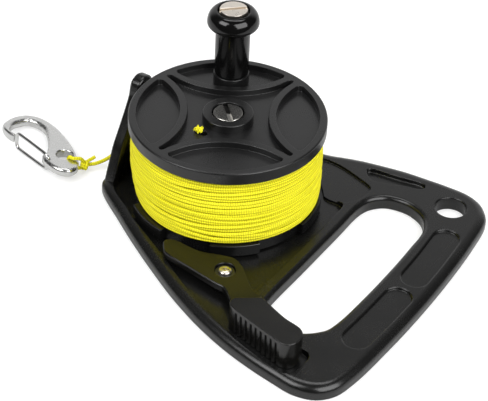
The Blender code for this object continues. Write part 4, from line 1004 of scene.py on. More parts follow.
def tube(name: str, path: Sequence[Vector], radius: float, sides: int) -> Piece:
    """Return a round tube along a path, with a map of its length in metres and its turn from 0 to 1.

    Args:
        name: The object's name.
        path: The points of its centre line.
        radius: Its radius.
        sides: How many sides it has.

    Returns:
        The object.
    """
    rings = []
    tangent = (path[1] - path[0]).normalized()
    steep = 0.9
    helper = Vector((0.0, 0.0, 1.0)) if abs(tangent.z) < steep else Vector((1.0, 0.0, 0.0))
    side = tangent.cross(helper).normalized()
    lengths = [0.0]
    for index, point in enumerate(path):
        ahead = path[min(index + 1, len(path) - 1)]
        behind = path[max(index - 1, 0)]
        tangent = (ahead - behind).normalized()
        side = (side - tangent * side.dot(tangent)).normalized()
        rise = tangent.cross(side)
        if index:
            lengths.append(lengths[-1] + (point - path[index - 1]).length)
        ring = []
        for step in range(sides):
            angle = FULL_TURN * step / sides
            ring.append(point + side * (radius * math.cos(angle)) + rise * (radius * math.sin(angle)))
        rings.append(ring)
    item = lofted(name, rings)
    layer = item.data.uv_layers.new(name=TUBE_MAP)
    for polygon in item.data.polygons:
        steps = [item.data.loops[loop].vertex_index % sides for loop in polygon.loop_indices]
        wrapped = max(steps) - min(steps) > sides // 2
        for loop in polygon.loop_indices:
            vertex = item.data.loops[loop].vertex_index
            turn = vertex % sides
            turn = sides if wrapped and turn == 0 else turn
            layer.data[loop].uv = (lengths[vertex // sides], turn / sides)
    return item


def carved(body: Piece, tools: Sequence[Piece], operation: str) -> Piece:
    """Apply Booleans to a body and remove the tools.

    Args:
        body: The object to change.
        tools: The objects to add or take away.
        operation: "UNION" or "DIFFERENCE".

    Returns:
        The body.
    """
    for tool in tools:
        step = body.modifiers.new(tool.name, "BOOLEAN")
        step.operation = operation
        step.solver = "EXACT"
        step.object = tool
    bpy.context.view_layer.update()
    graph = bpy.context.evaluated_depsgraph_get()
    mesh = bpy.data.meshes.new_from_object(body.evaluated_get(graph))
    body.modifiers.clear()
    body.data = mesh
    for tool in tools:
        bpy.data.objects.remove(tool, do_unlink=True)
    return body


def recess_profile(floor: float, top: float, edge: float, fillet: float) -> list[Pair]:
    """Return a cutter's profile for a recess.

    Args:
        floor: The height of the recess's floor.
        top: The height of the face that it is cut into.
        edge: The radius of its upper edge.
        fillet: The radius round its floor.

    Returns:
        Pairs of an outset and a height.
    """
    profile = quarter((-fillet, floor), (0.0, floor + fillet), 4, False)
    profile += quarter((0.0, top - edge), (edge, top), 5)
    return profile + [(edge, top + OVERRUN)]


def hole_profile(bottom: float, top: float, bottom_edge: float, top_edge: float) -> list[Pair]:
    """Return a cutter's profile for a through hole.

    Args:
        bottom: The height of the lower face.
        top: The height of the upper face.
        bottom_edge: The radius of its lower edge.
        top_edge: The radius of its upper edge.

    Returns:
        Pairs of an outset and a height.
    """
    profile = [(bottom_edge, bottom - OVERRUN)]
    profile += quarter((bottom_edge, bottom), (0.0, bottom + bottom_edge), 4, False)
    profile += quarter((0.0, top - top_edge), (top_edge, top), 6)
    return profile + [(top_edge, top + OVERRUN)]


def slab_profile(heights: Pair, edges: Pair, steps: tuple[int, int]) -> list[Pair]:
    """Return the profile of a slab with rounded edges.

    Args:
        heights: The heights of its lower and upper face.
        edges: The radii of its lower and upper edge.
        steps: How many spans each edge has.

    Returns:
        Pairs of an outset and a height.
    """
    bottom, top = heights
    profile = quarter((-edges[0], bottom), (0.0, bottom + edges[0]), steps[0], False)
    return profile + quarter((0.0, top - edges[1]), (-edges[1], top), steps[1])


@dataclass(frozen=True)
class Softbox:
    """A rectangular lamp that faces the reel, its azimuth counted from the camera's."""

    name: str
    azimuth: float
    elevation: float
    distance: float
    size: Pair
    power: float
    mirrored: bool = True


@dataclass
class Studio:
    """White floor, soft grey surround, two front softboxes, one overhead, one behind, and the camera."""

    focal_pixels: float = 1667.0
    image_width: int = 488
    image_height: int = 401
    distance: float = 750.0 * MM
    elevation: float = 38.29
    azimuth: float = 31.26
    roll: float = 2.77
    spool_pixel: Pair = (228.1, 113.7)
    spool_height: float = 52.0 * MM
    sensor: float = 36.0 * MM
    clip: Pair = (0.05, 20.0)
    floor_size: float = 5.0
    floor_front: float = 0.16
    floor_drop: float = 0.2 * MM
    floor_colours: tuple[Colour, Colour] = ((0.54, 0.54, 0.54), (0.56, 0.56, 0.56))
    floor_cloud: float = 60.0 * MM
    floor_glow: float = 0.50
    mirrored_glow: float = 0.3
    white_from: Pair = (0.20, 0.42)
    ambient: float = 0.42
    least_mirrored: float = 0.04
    backdrop_above: float = 0.20
    backdrop_below: float = 0.66
    backdrop_fade: Pair = (0.54, 0.72)
    camera_side: Pair = (-0.85, -0.40)
    softboxes: tuple[Softbox, ...] = (
        Softbox("front_right", 43.0, 38.0, 1.0, (0.86, 0.72), 9.6),
        Softbox("front_left", -54.0, 46.0, 1.0, (0.56, 0.52), 5.6),
        Softbox("overhead", 175.0, 74.0, 1.1, (0.70, 0.32), 3.0),
        Softbox("back_fill", 190.0, 16.0, 1.4, (0.80, 0.30), 4.0, mirrored=False))

    def build(self) -> None:
        """Make the floor, the world, the lamps and the camera."""
        bpy.context.scene.view_settings.view_transform = "Standard"
        self._floor()
        self._world()
        for softbox in self.softboxes:
            self._lamp(softbox)
        self._camera()

    def _direction(self, azimuth: float, elevation: float) -> Vector:
        """Return the direction to a place.

        Args:
            azimuth: Its angle from the camera's azimuth in degrees.
            elevation: Its elevation in degrees.

        Returns:
            The direction, of length 1.
        """
        turn = math.radians(self.azimuth + azimuth)
        lift = math.radians(elevation)
        return Vector((math.sin(turn) * math.cos(lift), -math.cos(turn) * math.cos(lift), math.sin(lift)))

    def _floor(self) -> None:
        """Make the floor: pale near the reel, where its shadow lies, and white far away."""
        half = self.floor_size / 2
        floor = prism("floor", rectangle((-half, -self.floor_front), (half, half)),
                      [(0.0, -self.floor_drop - OVERRUN), (0.0, -self.floor_drop)],
                      Matrix.Rotation(math.radians(self.azimuth), 4, "Z"))
        material, graph = new_graph("pale_floor")
        paper = graph.blend(graph.noise(self.floor_cloud, 2.0), *self.floor_colours)
        plain = graph.add("ShaderNodeBsdfDiffuse", None, {"Color": paper}).outputs[0]
        glow = graph.glow(self.floor_glow)
        bright = graph.add("ShaderNodeAddShader", None, {0: plain, 1: glow}).outputs[0]
        seen = graph.seen_directly(self.mirrored_glow)
        near = graph.add("ShaderNodeMixShader", None, {0: seen, 1: plain, 2: bright}).outputs[0]
        far = graph.measure("LENGTH", graph.place()).ramp(*self.white_from)
        shader = graph.add("ShaderNodeMixShader", None, {0: seen * far, 1: near, 2: graph.glow(1.0)})
        graph.add("ShaderNodeOutputMaterial", None, {"Surface": shader.outputs[0]})
        floor.data.materials.append(material)

    def _world(self) -> None:
        """Make the surround: white behind the picture, darker on the camera's side in reflections."""
        world = bpy.data.worlds.new("studio")
        world.use_nodes = True
        bpy.context.scene.world = world
        graph = Graph(world.node_tree)
        ray = graph.add("ShaderNodeLightPath")
        way = graph.add("ShaderNodeTexCoord").outputs["Generated"]
        facing = graph.measure("DOT_PRODUCT", way, tuple(self._direction(0.0, 0.0)))
        low = 1.0 - graph.part(way, 2).ramp(*self.backdrop_fade)
        backdrop = self.backdrop_above + low * self.backdrop_below
        mirrored = self.least_mirrored + (1.0 - facing.ramp(*self.camera_side)) * backdrop
        glossy = Field(graph, ray.outputs["Is Glossy Ray"])
        clear = Field(graph, ray.outputs["Is Transmission Ray"])
        seen = Field(graph, ray.outputs["Is Camera Ray"]).larger(clear)
        light = glossy * mirrored + (1.0 - glossy) * self.ambient
        strength = seen + (1.0 - seen) * light
        shader = graph.add("ShaderNodeBackground", None, {"Color": WHITE, "Strength": strength})
        graph.add("ShaderNodeOutputWorld", None, {"Surface": shader.outputs[0]})

    def _lamp(self, softbox: Softbox) -> None:
        """Make a softbox's lamp.

        Args:
            softbox: Its place, size and power.
        """
        lamp = bpy.data.lights.new(softbox.name, "AREA")
        lamp.shape = "RECTANGLE"
        lamp.size, lamp.size_y = softbox.size
        lamp.energy = softbox.power
        item = bpy.data.objects.new(softbox.name, lamp)
        way = self._direction(softbox.azimuth, softbox.elevation)
        item.location = way * softbox.distance
        item.rotation_mode = "QUATERNION"
        item.rotation_quaternion = way.to_track_quat("Z", "Y")
        item.visible_glossy = softbox.mirrored
        bpy.context.scene.collection.objects.link(item)

    def _camera(self) -> None:
        """Make the camera of the photograph, from where the spool's top face lies in it."""
        back = self._direction(0.0, self.elevation)
        azimuth = math.radians(self.azimuth)
        level = Vector((math.cos(azimuth), math.sin(azimuth), 0.0))
        upright = back.cross(level)
        lean = math.radians(self.roll)
        right = level * math.cos(lean) + upright * math.sin(lean)
        above = upright * math.cos(lean) - level * math.sin(lean)
        aside = (self.spool_pixel[0] - self.image_width / 2) * self.distance / self.focal_pixels
        below = (self.spool_pixel[1] - self.image_height / 2) * self.distance / self.focal_pixels
        spool = Vector((0.0, 0.0, self.spool_height))
        place = spool + back * self.distance - right * aside + above * below
        data = bpy.data.cameras.new("photo_camera")
        data.sensor_width = self.sensor / MM
        data.lens = self.focal_pixels * data.sensor_width / self.image_width
        data.clip_start, data.clip_end = self.clip
        item = bpy.data.objects.new("photo_camera", data)
        turn = Matrix((right, above, back)).transposed()
        item.matrix_world = Matrix.Translation(place) @ turn.to_4x4()
        bpy.context.scene.collection.objects.link(item)
        bpy.context.scene.camera = item


class Dresser:
    """Puts finished pieces on their bodies, in place of the nodes that they stand for."""

    def __init__(self, frame: Mapping[str, object]) -> None:
        """Keep the loaded frame.
        """
        self.nodes = frame["nodes"]
        self.joints = {joint["name"]: joint for joint in frame["joints"]}
        self.finishes: dict[str, Material] = {}

    def finish(self, slot: str) -> Material:
        """Return the material of one of the record's slots."""
        return self.finishes[slot]

    def pivot(self, joint: str) -> Vector:
        """Return a joint's place."""
        return Vector(self.joints[joint]["pos_m"])

    def wear(self, item: Piece, body: str, slot: str, nodes: Sequence[str] = (),
             shade: Shade = Shade.CREASED, finish: str | None = None) -> Piece:
        """Give a piece its finish, its body and the nodes that it replaces.

        Args:
            item: The piece.
            body: The body that it rides on.
            slot: The record's material slot.
            nodes: The nodes that it stands for.
            shade: How it is shaded.
            finish: Its own finish, where it isn't the slot's.

        Returns:
            The piece.
        """
        item.data.materials.clear()
        item.data.materials.append(self.finish(finish or slot))
        item.data.shade_smooth()
        if shade is Shade.CREASED:
            item.data.set_sharp_from_angle(angle=math.radians(CREASE_ANGLE))
            weighted = item.modifiers.new("weighted_normals", "WEIGHTED_NORMAL")
            weighted.keep_sharp = True
        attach(item, body)
        if nodes:
            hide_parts(*nodes)
        stands_for = ", ".join(nodes) or "itself"
        LOG.info("%s: %d faces, on %s, for %s", item.name, len(item.data.polygons), body, stands_for)
        return item

    def keep(self, node: str, material: Material) -> None:
        """Give a carried-over node its finish.

        Args:
            node: The node's name.
            material: The finish.
        """
        for entry in self.nodes[node].material_slots:
            entry.link = "OBJECT"
            entry.material = material
        LOG.info("%s: kept, in %s", node, material.name)


@dataclass
class FrameMoulding:
    """Plate with its openings, pans, recesses and pockets, the guide arm, the axle post and a boss."""

    thickness: float = 7.0 * MM
    trim: float = 0.1 * MM
    shoulder_width: float = 4.6 * MM
    shoulder_height: float = 3.6 * MM
    back_edge: float = 0.9 * MM
    pan_floor: float = 4.5 * MM
    pan_radius: float = 46.4 * MM
    pan_edges: Pair = (0.5 * MM, 0.5 * MM)
    recess_depth: float = 1.2 * MM
    recess_edges: Pair = (0.35 * MM, 0.4 * MM)
    deep_recess_depth: float = 2.2 * MM
    deep_recess_edges: Pair = (0.5 * MM, 0.6 * MM)
    pocket_depth: float = 1.2 * MM
    pocket_half_width: float = 6.2 * MM
    pocket_edges: Pair = (0.8 * MM, 0.4 * MM)
    hand_hole_start: float = 56.3 * MM
    hand_hole_width: float = 33.4 * MM
    hand_hole_near_reach: float = 63.5 * MM
    hand_hole_length: float = 106.1 * MM
    hand_hole_edges: Pair = (0.8 * MM, 2.4 * MM)
    lanyard_place: Pair = (91.6 * MM, 52.0 * MM)
    lanyard_radius: float = 7.3 * MM
    lanyard_edges: Pair = (0.5 * MM, 0.7 * MM)
    arm_inner: float = -46.3 * MM
    arm_outer: float = -52.0 * MM
    arm_height: float = 52.5 * MM
    arm_half_width: float = 25.0 * MM
    arm_edge: float = 1.4 * MM
    arm_recess: float = 1.8 * MM
    arm_recess_edges: Pair = (0.5 * MM, 0.5 * MM)
    guide_height: float = 24.0 * MM
    guide_half_length: float = 6.0 * MM
    guide_radius: float = 3.6 * MM
    guide_edges: Pair = (0.7 * MM, 0.6 * MM)
    post_radius: float = 6.0 * MM
    post_top: float = 48.4 * MM
    boss_radius: float = 5.5 * MM
    boss_top: float = 7.1 * MM
    corner: Vector = field(init=False)
    extent: Vector = field(init=False)

    def build(self, dresser: Dresser) -> None:
        """Make the moulding.

        Args:
            dresser: Puts pieces on their bodies.
        """
        low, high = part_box("frame")
        self.corner = Vector((low.x, low.y))
        self.extent = Vector((high.x - low.x, high.y - low.y))
        plate = self._plate()
        carved(plate, self._cutters(), "DIFFERENCE")
        sunk = self.pan_floor - GAP
        pivot = dresser.pivot("lever_pivot")
        post = cylinder("axle_post", AXIS, self.post_radius, (sunk, self.post_top), 64)
        boss = cylinder("lever_boss", pivot, self.boss_radius, (sunk, self.boss_top), 48)
        carved(plate, [self._arm(), post, boss], "UNION")
        dresser.wear(plate, "frame_body", "frame_plastic", ["frame"])

    def _on_plate(self, shares: Shares) -> Outline:
        """Return flat points of the plate from shares of its length and width."""
        return [Vector((self.corner.x + x * self.extent.x, self.corner.y + y * self.extent.y))
                for x, y in shares]

    def _plate(self) -> Piece:
        """Return the plate with its broad rounded shoulder."""
        outline = counter_clockwise(through(self._on_plate(FRAME_OUTLINE_SHARES), 10, True))
        outline = grown(outline, -self.trim)
        rings = []
        for outset, height in quarter((-self.back_edge, 0.0), (0.0, self.back_edge), 4, False):
            rings.append(lifted(grown(outline, outset), height))
        loop = outline
        reached = 0.0
        foot = self.thickness - self.shoulder_height
        for inset, height in quarter((0.0, foot), (self.shoulder_width, self.thickness), 12):
            loop = worn_back(loop, inset - reached) if inset > reached else loop
            reached = inset
            rings.append(lifted(loop, height))
        return lofted("frame_moulding", rings)

    def _cutters(self) -> list[Piece]:
        """Return what is taken out of the plate."""
        top = self.thickness
        hole = [Vector((self.hand_hole_start + x * self.hand_hole_width,
                        -self.hand_hole_near_reach + y * self.hand_hole_length))
                for x, y in HAND_HOLE_SHARES]
        well = joined_with_circle(through(self._on_plate(WELL_SHARES), 5, True), self.pan_radius, 160)
        recess = through(self._on_plate(RECESS_SHARES), 5, True)
        deep_recess = through(self._on_plate(DEEP_RECESS_SHARES), 5, True)
        tools = [
            prism("hand_hole", through(hole, 8, True), hole_profile(0.0, top, *self.hand_hole_edges)),
            prism("lanyard_hole", circle(self.lanyard_place, self.lanyard_radius, 64),
                  hole_profile(0.0, top, *self.lanyard_edges)),
            prism("well", well, recess_profile(self.pan_floor, top, *self.pan_edges)),
            prism("recess", recess, recess_profile(top - self.recess_depth, top, *self.recess_edges)),
            prism("deep_recess", deep_recess,
                  recess_profile(top - self.deep_recess_depth, top, *self.deep_recess_edges))]
        for index, shares in enumerate(POCKET_PATH_SHARES):
            outline = around(through(self._on_plate(shares), 6, False), self.pocket_half_width)
            profile = recess_profile(top - self.pocket_depth, top, *self.pocket_edges)
            tools.append(prism(f"pocket_{index + 1}", outline, profile))
        return tools

    def _arm(self) -> Piece:
        """Return the guide arm with its recess and guide hole."""
        upright = Matrix(((0.0, 0.0, 1.0), (1.0, 0.0, 0.0), (0.0, 1.0, 0.0))).to_4x4()
        foot = [Vector((side * self.arm_half_width, self.thickness / 2)) for side in (-1, 1)]
        outline = foot + through(self._on_arm(ARM_PROFILE_SHARES), 8, False)
        edges = slab_profile((self.arm_outer, self.arm_inner), (self.arm_edge, self.arm_edge), (6, 6))
        arm = prism("guide_arm", outline, edges, upright)
        floor = self.arm_inner - self.arm_recess
        reach = self.guide_half_length - self.guide_radius
        slot = [Vector((0.0, self.guide_height - reach)), Vector((0.0, self.guide_height + reach))]
        tools = [
            prism("arm_recess", through(self._on_arm(ARM_RECESS_SHARES), 3, True),
                  recess_profile(floor, self.arm_inner, *self.arm_recess_edges), upright),
            prism("guide_hole", around(slot, self.guide_radius, 16),
                  hole_profile(self.arm_outer, floor, *self.guide_edges), upright)]
        return carved(arm, tools, "DIFFERENCE")

    def _on_arm(self, shares: Shares) -> Outline:
        """Return points across the reel and up, from shares of the arm's half width and height."""
        return [Vector((y * self.arm_half_width, z * self.arm_height)) for y, z in shares]


@dataclass
class Spool:
    """Top flange with its lens shaped pans, horned recess, hub and knob boss, and the drum below it."""

    radius: float = 45.0 * MM
    flange_thickness: float = 6.0 * MM
    line_top: float = 46.0 * MM
    pan_depth: float = 3.0 * MM
    rim_radius: float = 41.5 * MM
    lens_radius: float = 36.8 * MM
    lens_apex: float = 21.7 * MM
    lens_corner: float = 1.8 * MM
    lens_count: int = 4
    rib_width: float = 3.4 * MM
    horn_tip: float = 1.2 * MM
    face_turn: float = 31.3
    hub_radius: float = 11.6 * MM
    hub_rise: float = 1.0 * MM
    cup_radius: float = 7.4 * MM
    cup_depth: float = 4.6 * MM
    boss_radius: float = 8.3 * MM
    boss_height: float = 5.3 * MM
    anchor_radius: float = 1.7 * MM
    core_radius: float = 16.0 * MM
    drum_bottom: float = 5.5 * MM
    bore_radius: float = 7.9 * MM
    teeth: int = 6
    gap_start: float = -96.4
    gap_turn: float = 31.0
    gap_depth: float = 3.0 * MM
    line_edge: float = 0.5 * MM
    rim_edge: float = 0.8 * MM
    pan_edges: Pair = (0.3 * MM, 0.25 * MM)
    hub_edge: float = 0.5 * MM
    cup_edges: Pair = (0.4 * MM, 0.2 * MM)
    cup_sink: float = 0.5 * MM
    insert_radius: float = 3.8 * MM
    insert_sink: float = 1.5 * MM
    anchor_edge: float = 0.3 * MM
    steps: int = 200

    def build(self, dresser: Dresser) -> None:
        """Make both mouldings."""
        self._top_flange(dresser)
        self._drum(dresser)

    def _top_flange(self, dresser: Dresser) -> None:
        """Make the top flange.

        Args:
            dresser: Puts pieces on their bodies.
        """
        top = self.line_top + self.flange_thickness
        floor = top - self.pan_depth
        hub_top = top + self.hub_rise
        shoulder = hub_top - self.cup_depth
        boss_top = floor + self.boss_height
        knob = dresser.pivot("knob_spin")
        flange = prism("top_flange_moulding", circle(AXIS, self.radius, self.steps),
                       slab_profile((self.line_top, top), (self.line_edge, self.rim_edge), (3, 6)))
        pan = recess_profile(floor, top, *self.pan_edges)
        tools = []
        for index in range(self.lens_count):
            direction = self.face_turn + index * 360.0 / self.lens_count
            tools.append(prism(f"lens_{index + 1}", self._lens(direction), pan))
        tools.append(prism("horned", self._horned(), pan))
        carved(flange, tools, "DIFFERENCE")
        hub = cylinder("hub", AXIS, self.hub_radius, (floor - GAP, hub_top), 96, self.hub_edge)
        boss = cylinder("knob_boss", knob, self.boss_radius, (floor - GAP, boss_top), 80, self.hub_edge)
        carved(flange, [hub, boss], "UNION")
        anchor_profile = [(0.0, self.line_top - OVERRUN)]
        anchor_profile += quarter((0.0, floor - self.anchor_edge), (self.anchor_edge, floor), 3)
        anchor_profile += [(self.anchor_edge, top)]
        tools = [
            prism("cup", circle(AXIS, self.cup_radius, 80),
                  recess_profile(shoulder - self.cup_sink, hub_top, *self.cup_edges)),
            cylinder("bore", AXIS, self.bore_radius, (self.line_top - OVERRUN, shoulder), 64),
            cylinder("insert_bore", knob, self.insert_radius,
                     (floor - self.insert_sink, boss_top + OVERRUN), 40),
            prism("anchor_hole", circle(AnchorKnot.hole_place, self.anchor_radius, 32), anchor_profile)]
        carved(flange, tools, "DIFFERENCE")
        dresser.wear(flange, "spool", "flange_plastic", ["spool_top_flange"])

    def _drum(self, dresser: Dresser) -> None:
        """Make the drum with the ratchet gaps in its flange.

        Args:
            dresser: Puts pieces on their bodies.
        """
        top = self.drum_bottom + self.flange_thickness
        drum = prism("drum_moulding", circle(AXIS, self.radius, self.steps),
                     slab_profile((self.drum_bottom, top), (self.rim_edge, self.line_edge), (4, 4)))
        through_flange = [(0.0, self.drum_bottom - OVERRUN), (0.0, top + OVERRUN)]
        tools = []
        for index in range(self.teeth):
            start = self.gap_start + index * 360.0 / self.teeth
            end = start + self.gap_turn
            outer = arc(AXIS, self.radius + OVERRUN, start, end, 16)
            inner = arc(AXIS, self.radius - self.gap_depth, end, start, 16)
            tools.append(prism(f"gap_{index + 1}", outer + inner, through_flange))
        carved(drum, tools, "DIFFERENCE")
        core = cylinder("core", AXIS, self.core_radius, (top - GAP, self.line_top - GAP), 96)
        carved(drum, [core], "UNION")
        bore = cylinder("drum_bore", AXIS, self.bore_radius,
                        (self.drum_bottom - OVERRUN, self.line_top + OVERRUN), 64)
        carved(drum, [bore], "DIFFERENCE")
        dresser.wear(drum, "spool", "drum_plastic", ["spool_drum"])

    def _lens(self, direction: float) -> Outline:
        """Return the outline of one lens shaped pan with rounded corners.

        Args:
            direction: The way from the axis to its middle, in degrees.

        Returns:
            The outline.
        """
        distance = self.lens_apex + self.lens_radius
        outer = self.rim_radius - self.lens_corner
        inner = self.lens_radius - self.lens_corner
        corner_x = (outer ** 2 - inner ** 2 + distance ** 2) / (2 * distance)
        spread = math.degrees(math.acos(corner_x / outer))
        corner_y = outer * math.sin(math.radians(spread))
        lean = math.degrees(math.atan2(corner_y, distance - corner_x))
        loop = arc(AXIS, self.rim_radius, -spread, spread, 40)
        loop += arc((corner_x, corner_y), self.lens_corner, spread, 180.0 - lean, 10)[1:-1]
        loop += arc((distance, 0.0), self.lens_radius, 180.0 - lean, 180.0 + lean, 40)
        loop += arc((corner_x, -corner_y), self.lens_corner, 180.0 + lean, 360.0 - spread, 10)[1:-1]
        turn = Matrix.Rotation(math.radians(direction), 2)
        return [turn @ point for point in loop]

    def _horned(self) -> Outline:
        """Return the outline of the four horned recess round the hub, with rounded tips."""
        distance = self.lens_apex + self.lens_radius
        radius = self.lens_radius + self.rib_width
        half = math.radians(180.0 / self.lens_count)
        touching = (radius + self.horn_tip) ** 2 - (distance * math.sin(half)) ** 2
        reach = distance * math.cos(half) - math.sqrt(max(touching, 0.0))
        tip = Vector((reach * math.cos(half), reach * math.sin(half)))
        lean = math.degrees(math.atan2(tip.y, distance - tip.x))
        across = math.degrees(2 * half) - 180.0
        points = []
        for index in range(self.lens_count):
            turn = Matrix.Rotation(math.radians(self.face_turn + index * 360.0 / self.lens_count), 2)
            side = arc((distance, 0.0), radius, 180.0 + lean, 180.0 - lean, 40)
            end = arc(tip, self.horn_tip, -lean, 180.0 + across + lean, 8)[1:-1]
            points += [turn @ point for point in side + end]
        return points


@dataclass
class LineWraps:
    """The wound line: an outer layer of turns that wander and cross a little, over a ridged bed."""

    low: float = 11.4 * MM
    high: float = 45.7 * MM
    outer_radius: float = 43.2 * MM
    bulge: float = 0.8 * MM
    slump: float = 1.6 * MM
    taper: float = 0.7 * MM
    slump_turn: float = -15.0
    turns: int = 20
    steps: int = 120
    knots: int = 7
    wander: float = 0.60 * MM
    jitter: float = 0.30 * MM
    crossings: int = 9
    climb: Pair = (3.0 * MM, 6.5 * MM)
    start_turn: float = 168.0
    first_crossing: float = 230.0
    crossing_step: float = 137.5
    crossing_scatter: float = 12.0
    crossing_turn: Pair = (70.0, 130.0)
    crossing_levels: Pair = (0.12, 0.88)
    level_step: float = 0.382
    crossing_rise: float = 0.25
    crossing_sink: float = 1.5
    crossing_plateau: float = 1.5
    crossing_steps: int = 60
    bed_cover: float = 0.04 * MM
    bed_depth: float = 0.38 * MM
    bed_rows: int = 6
    bed_sides: int = 96
    core_radius: float = 16.3 * MM
    sides: int = 12
    seed: int = 7
    sway: np.ndarray = field(init=False)
    lift: np.ndarray = field(init=False)

    def build(self, dresser: Dresser) -> None:
        """Make the outer layer, the turns that cross it and the bed.

        Args:
            dresser: Puts pieces on their bodies.
        """
        chance = np.random.default_rng(self.seed)
        count = self.turns * self.knots + 3
        self.sway = chance.uniform(-1.0, 1.0, (count,))
        self.lift = chance.uniform(-1.0, 1.0, (count,))
        self._bed(dresser)
        wraps = tube("line_wraps", self._layer(), LINE_RADIUS, self.sides)
        dresser.wear(wraps, "spool", "line", ["line_winding"], Shade.SMOOTH, "wound_line")
        for index in range(self.crossings):
            path = self._crossing(index, chance)
            piece = tube(f"line_crossing_{index + 1}", path, LINE_RADIUS, self.sides)
            dresser.wear(piece, "spool", "line", (), Shade.SMOOTH, "wound_line")

    def _reach(self, share: float, angle: float) -> float:
        """Return how far the line's centre lies from the axis.

        Args:
            share: The height as a share of the winding's.
            angle: The way from the axis.

        Returns:
            The distance.
        """
        level = min(max(share, 0.0), 1.0)
        lean = self.slump * math.cos(angle - math.radians(self.slump_turn)) - self.taper
        barrel = self.bulge * math.sin(math.pi * level) ** 0.7
        return self.outer_radius - LINE_RADIUS + barrel + lean * (1.0 - level) ** 4

    @staticmethod
    def _between(table: np.ndarray, place: float) -> float:
        """Return a value between two entries of a table, smoothly.

        Args:
            table: The values.
            place: Where to read, counted in entries.

        Returns:
            The value.
        """
        index = min(int(place), len(table) - 2)
        share = (1.0 - math.cos(math.pi * (place - index))) / 2
        return float(table[index] * (1.0 - share) + table[index + 1] * share)

    def _layer(self) -> list[Vector]:
        """Return the path of the outer layer."""
        count = self.turns * self.steps
        low = self.low + LINE_RADIUS
        high = self.high - LINE_RADIUS
        path = []
        for index in range(count + 1):
            share = index / count
            angle = FULL_TURN * self.turns * share + math.radians(self.start_turn)
            place = share * self.turns * self.knots
            room = min(1.0, min(share, 1.0 - share) * self.turns)
            height = low + (high - low) * share + self.wander * room * self._between(self.sway, place)
            reach = self._reach(share, angle) + self.jitter * self._between(self.lift, place)
            path.append(polar(reach, angle, height))
        return path

    def _crossing(self, index: int, chance: np.random.Generator) -> list[Vector]:
        """Return the path of a turn that rises, crosses its neighbours and sinks again.

        Args:
            index: Which crossing it is.
            chance: The winding's random numbers.

        Returns:
            The path.
        """
        scatter = chance.uniform(-self.crossing_scatter, self.crossing_scatter)
        start = math.radians(self.first_crossing + self.crossing_step * index + scatter)
        turn = math.radians(chance.uniform(*self.crossing_turn))
        lowest, highest = self.crossing_levels
        share = lowest + (highest - lowest) * ((index * self.level_step) % 1.0)
        climb = chance.uniform(*self.climb) * (1 if index % 2 else -1)
        margin = 0.03
        path = []
        for step in range(self.crossing_steps + 1):
            part = step / self.crossing_steps
            angle = start + turn * part
            level = share + climb * (part - 0.5) / (self.high - self.low)
            level = min(max(level, margin), 1.0 - margin)
            sunk = 1.0 - min(1.0, math.sin(math.pi * part) * self.crossing_plateau)
            rise = LINE_RADIUS * self.crossing_rise - self.crossing_sink * LINE_RADIUS * sunk
            height = self.low + (self.high - self.low) * level
            path.append(polar(self._reach(level, angle) + rise, angle, height))
        return path

    def _bed(self, dresser: Dresser) -> None:
        """Make the ridged bed of line under the outer layer, its line painted darker as shade.

        Args:
            dresser: Puts pieces on their bodies.
        """
        rows = self.turns * self.bed_rows
        core = circle(AXIS, self.core_radius, self.bed_sides)
        rings = [lifted(core, self.low)]
        for row in range(rows + 1):
            share = row / rows
            depth = self.bed_cover + self.bed_depth * (1.0 - abs(math.sin(math.pi * self.turns * share)))
            height = self.low + (self.high - self.low) * share
            ring = []
            for step in range(self.bed_sides):
                angle = FULL_TURN * step / self.bed_sides
                ring.append(polar(self._reach(share, angle) - depth, angle, height))
            rings.append(ring)
        rings.append(lifted(core, self.high))
        bed = lofted("shaded_line_bed", rings, True)
        layer = bed.data.uv_layers.new(name=TUBE_MAP)
        for polygon in bed.data.polygons:
            for loop in polygon.loop_indices:
                spot = bed.data.vertices[bed.data.loops[loop].vertex_index].co
                turn = math.atan2(spot.y, spot.x)
                layer.data[loop].uv = (turn * self.outer_radius, spot.z / LINE_DIAMETER)
        dresser.wear(bed, "spool", "line", ["line_core"], Shade.SMOOTH, "shaded_line_bed")


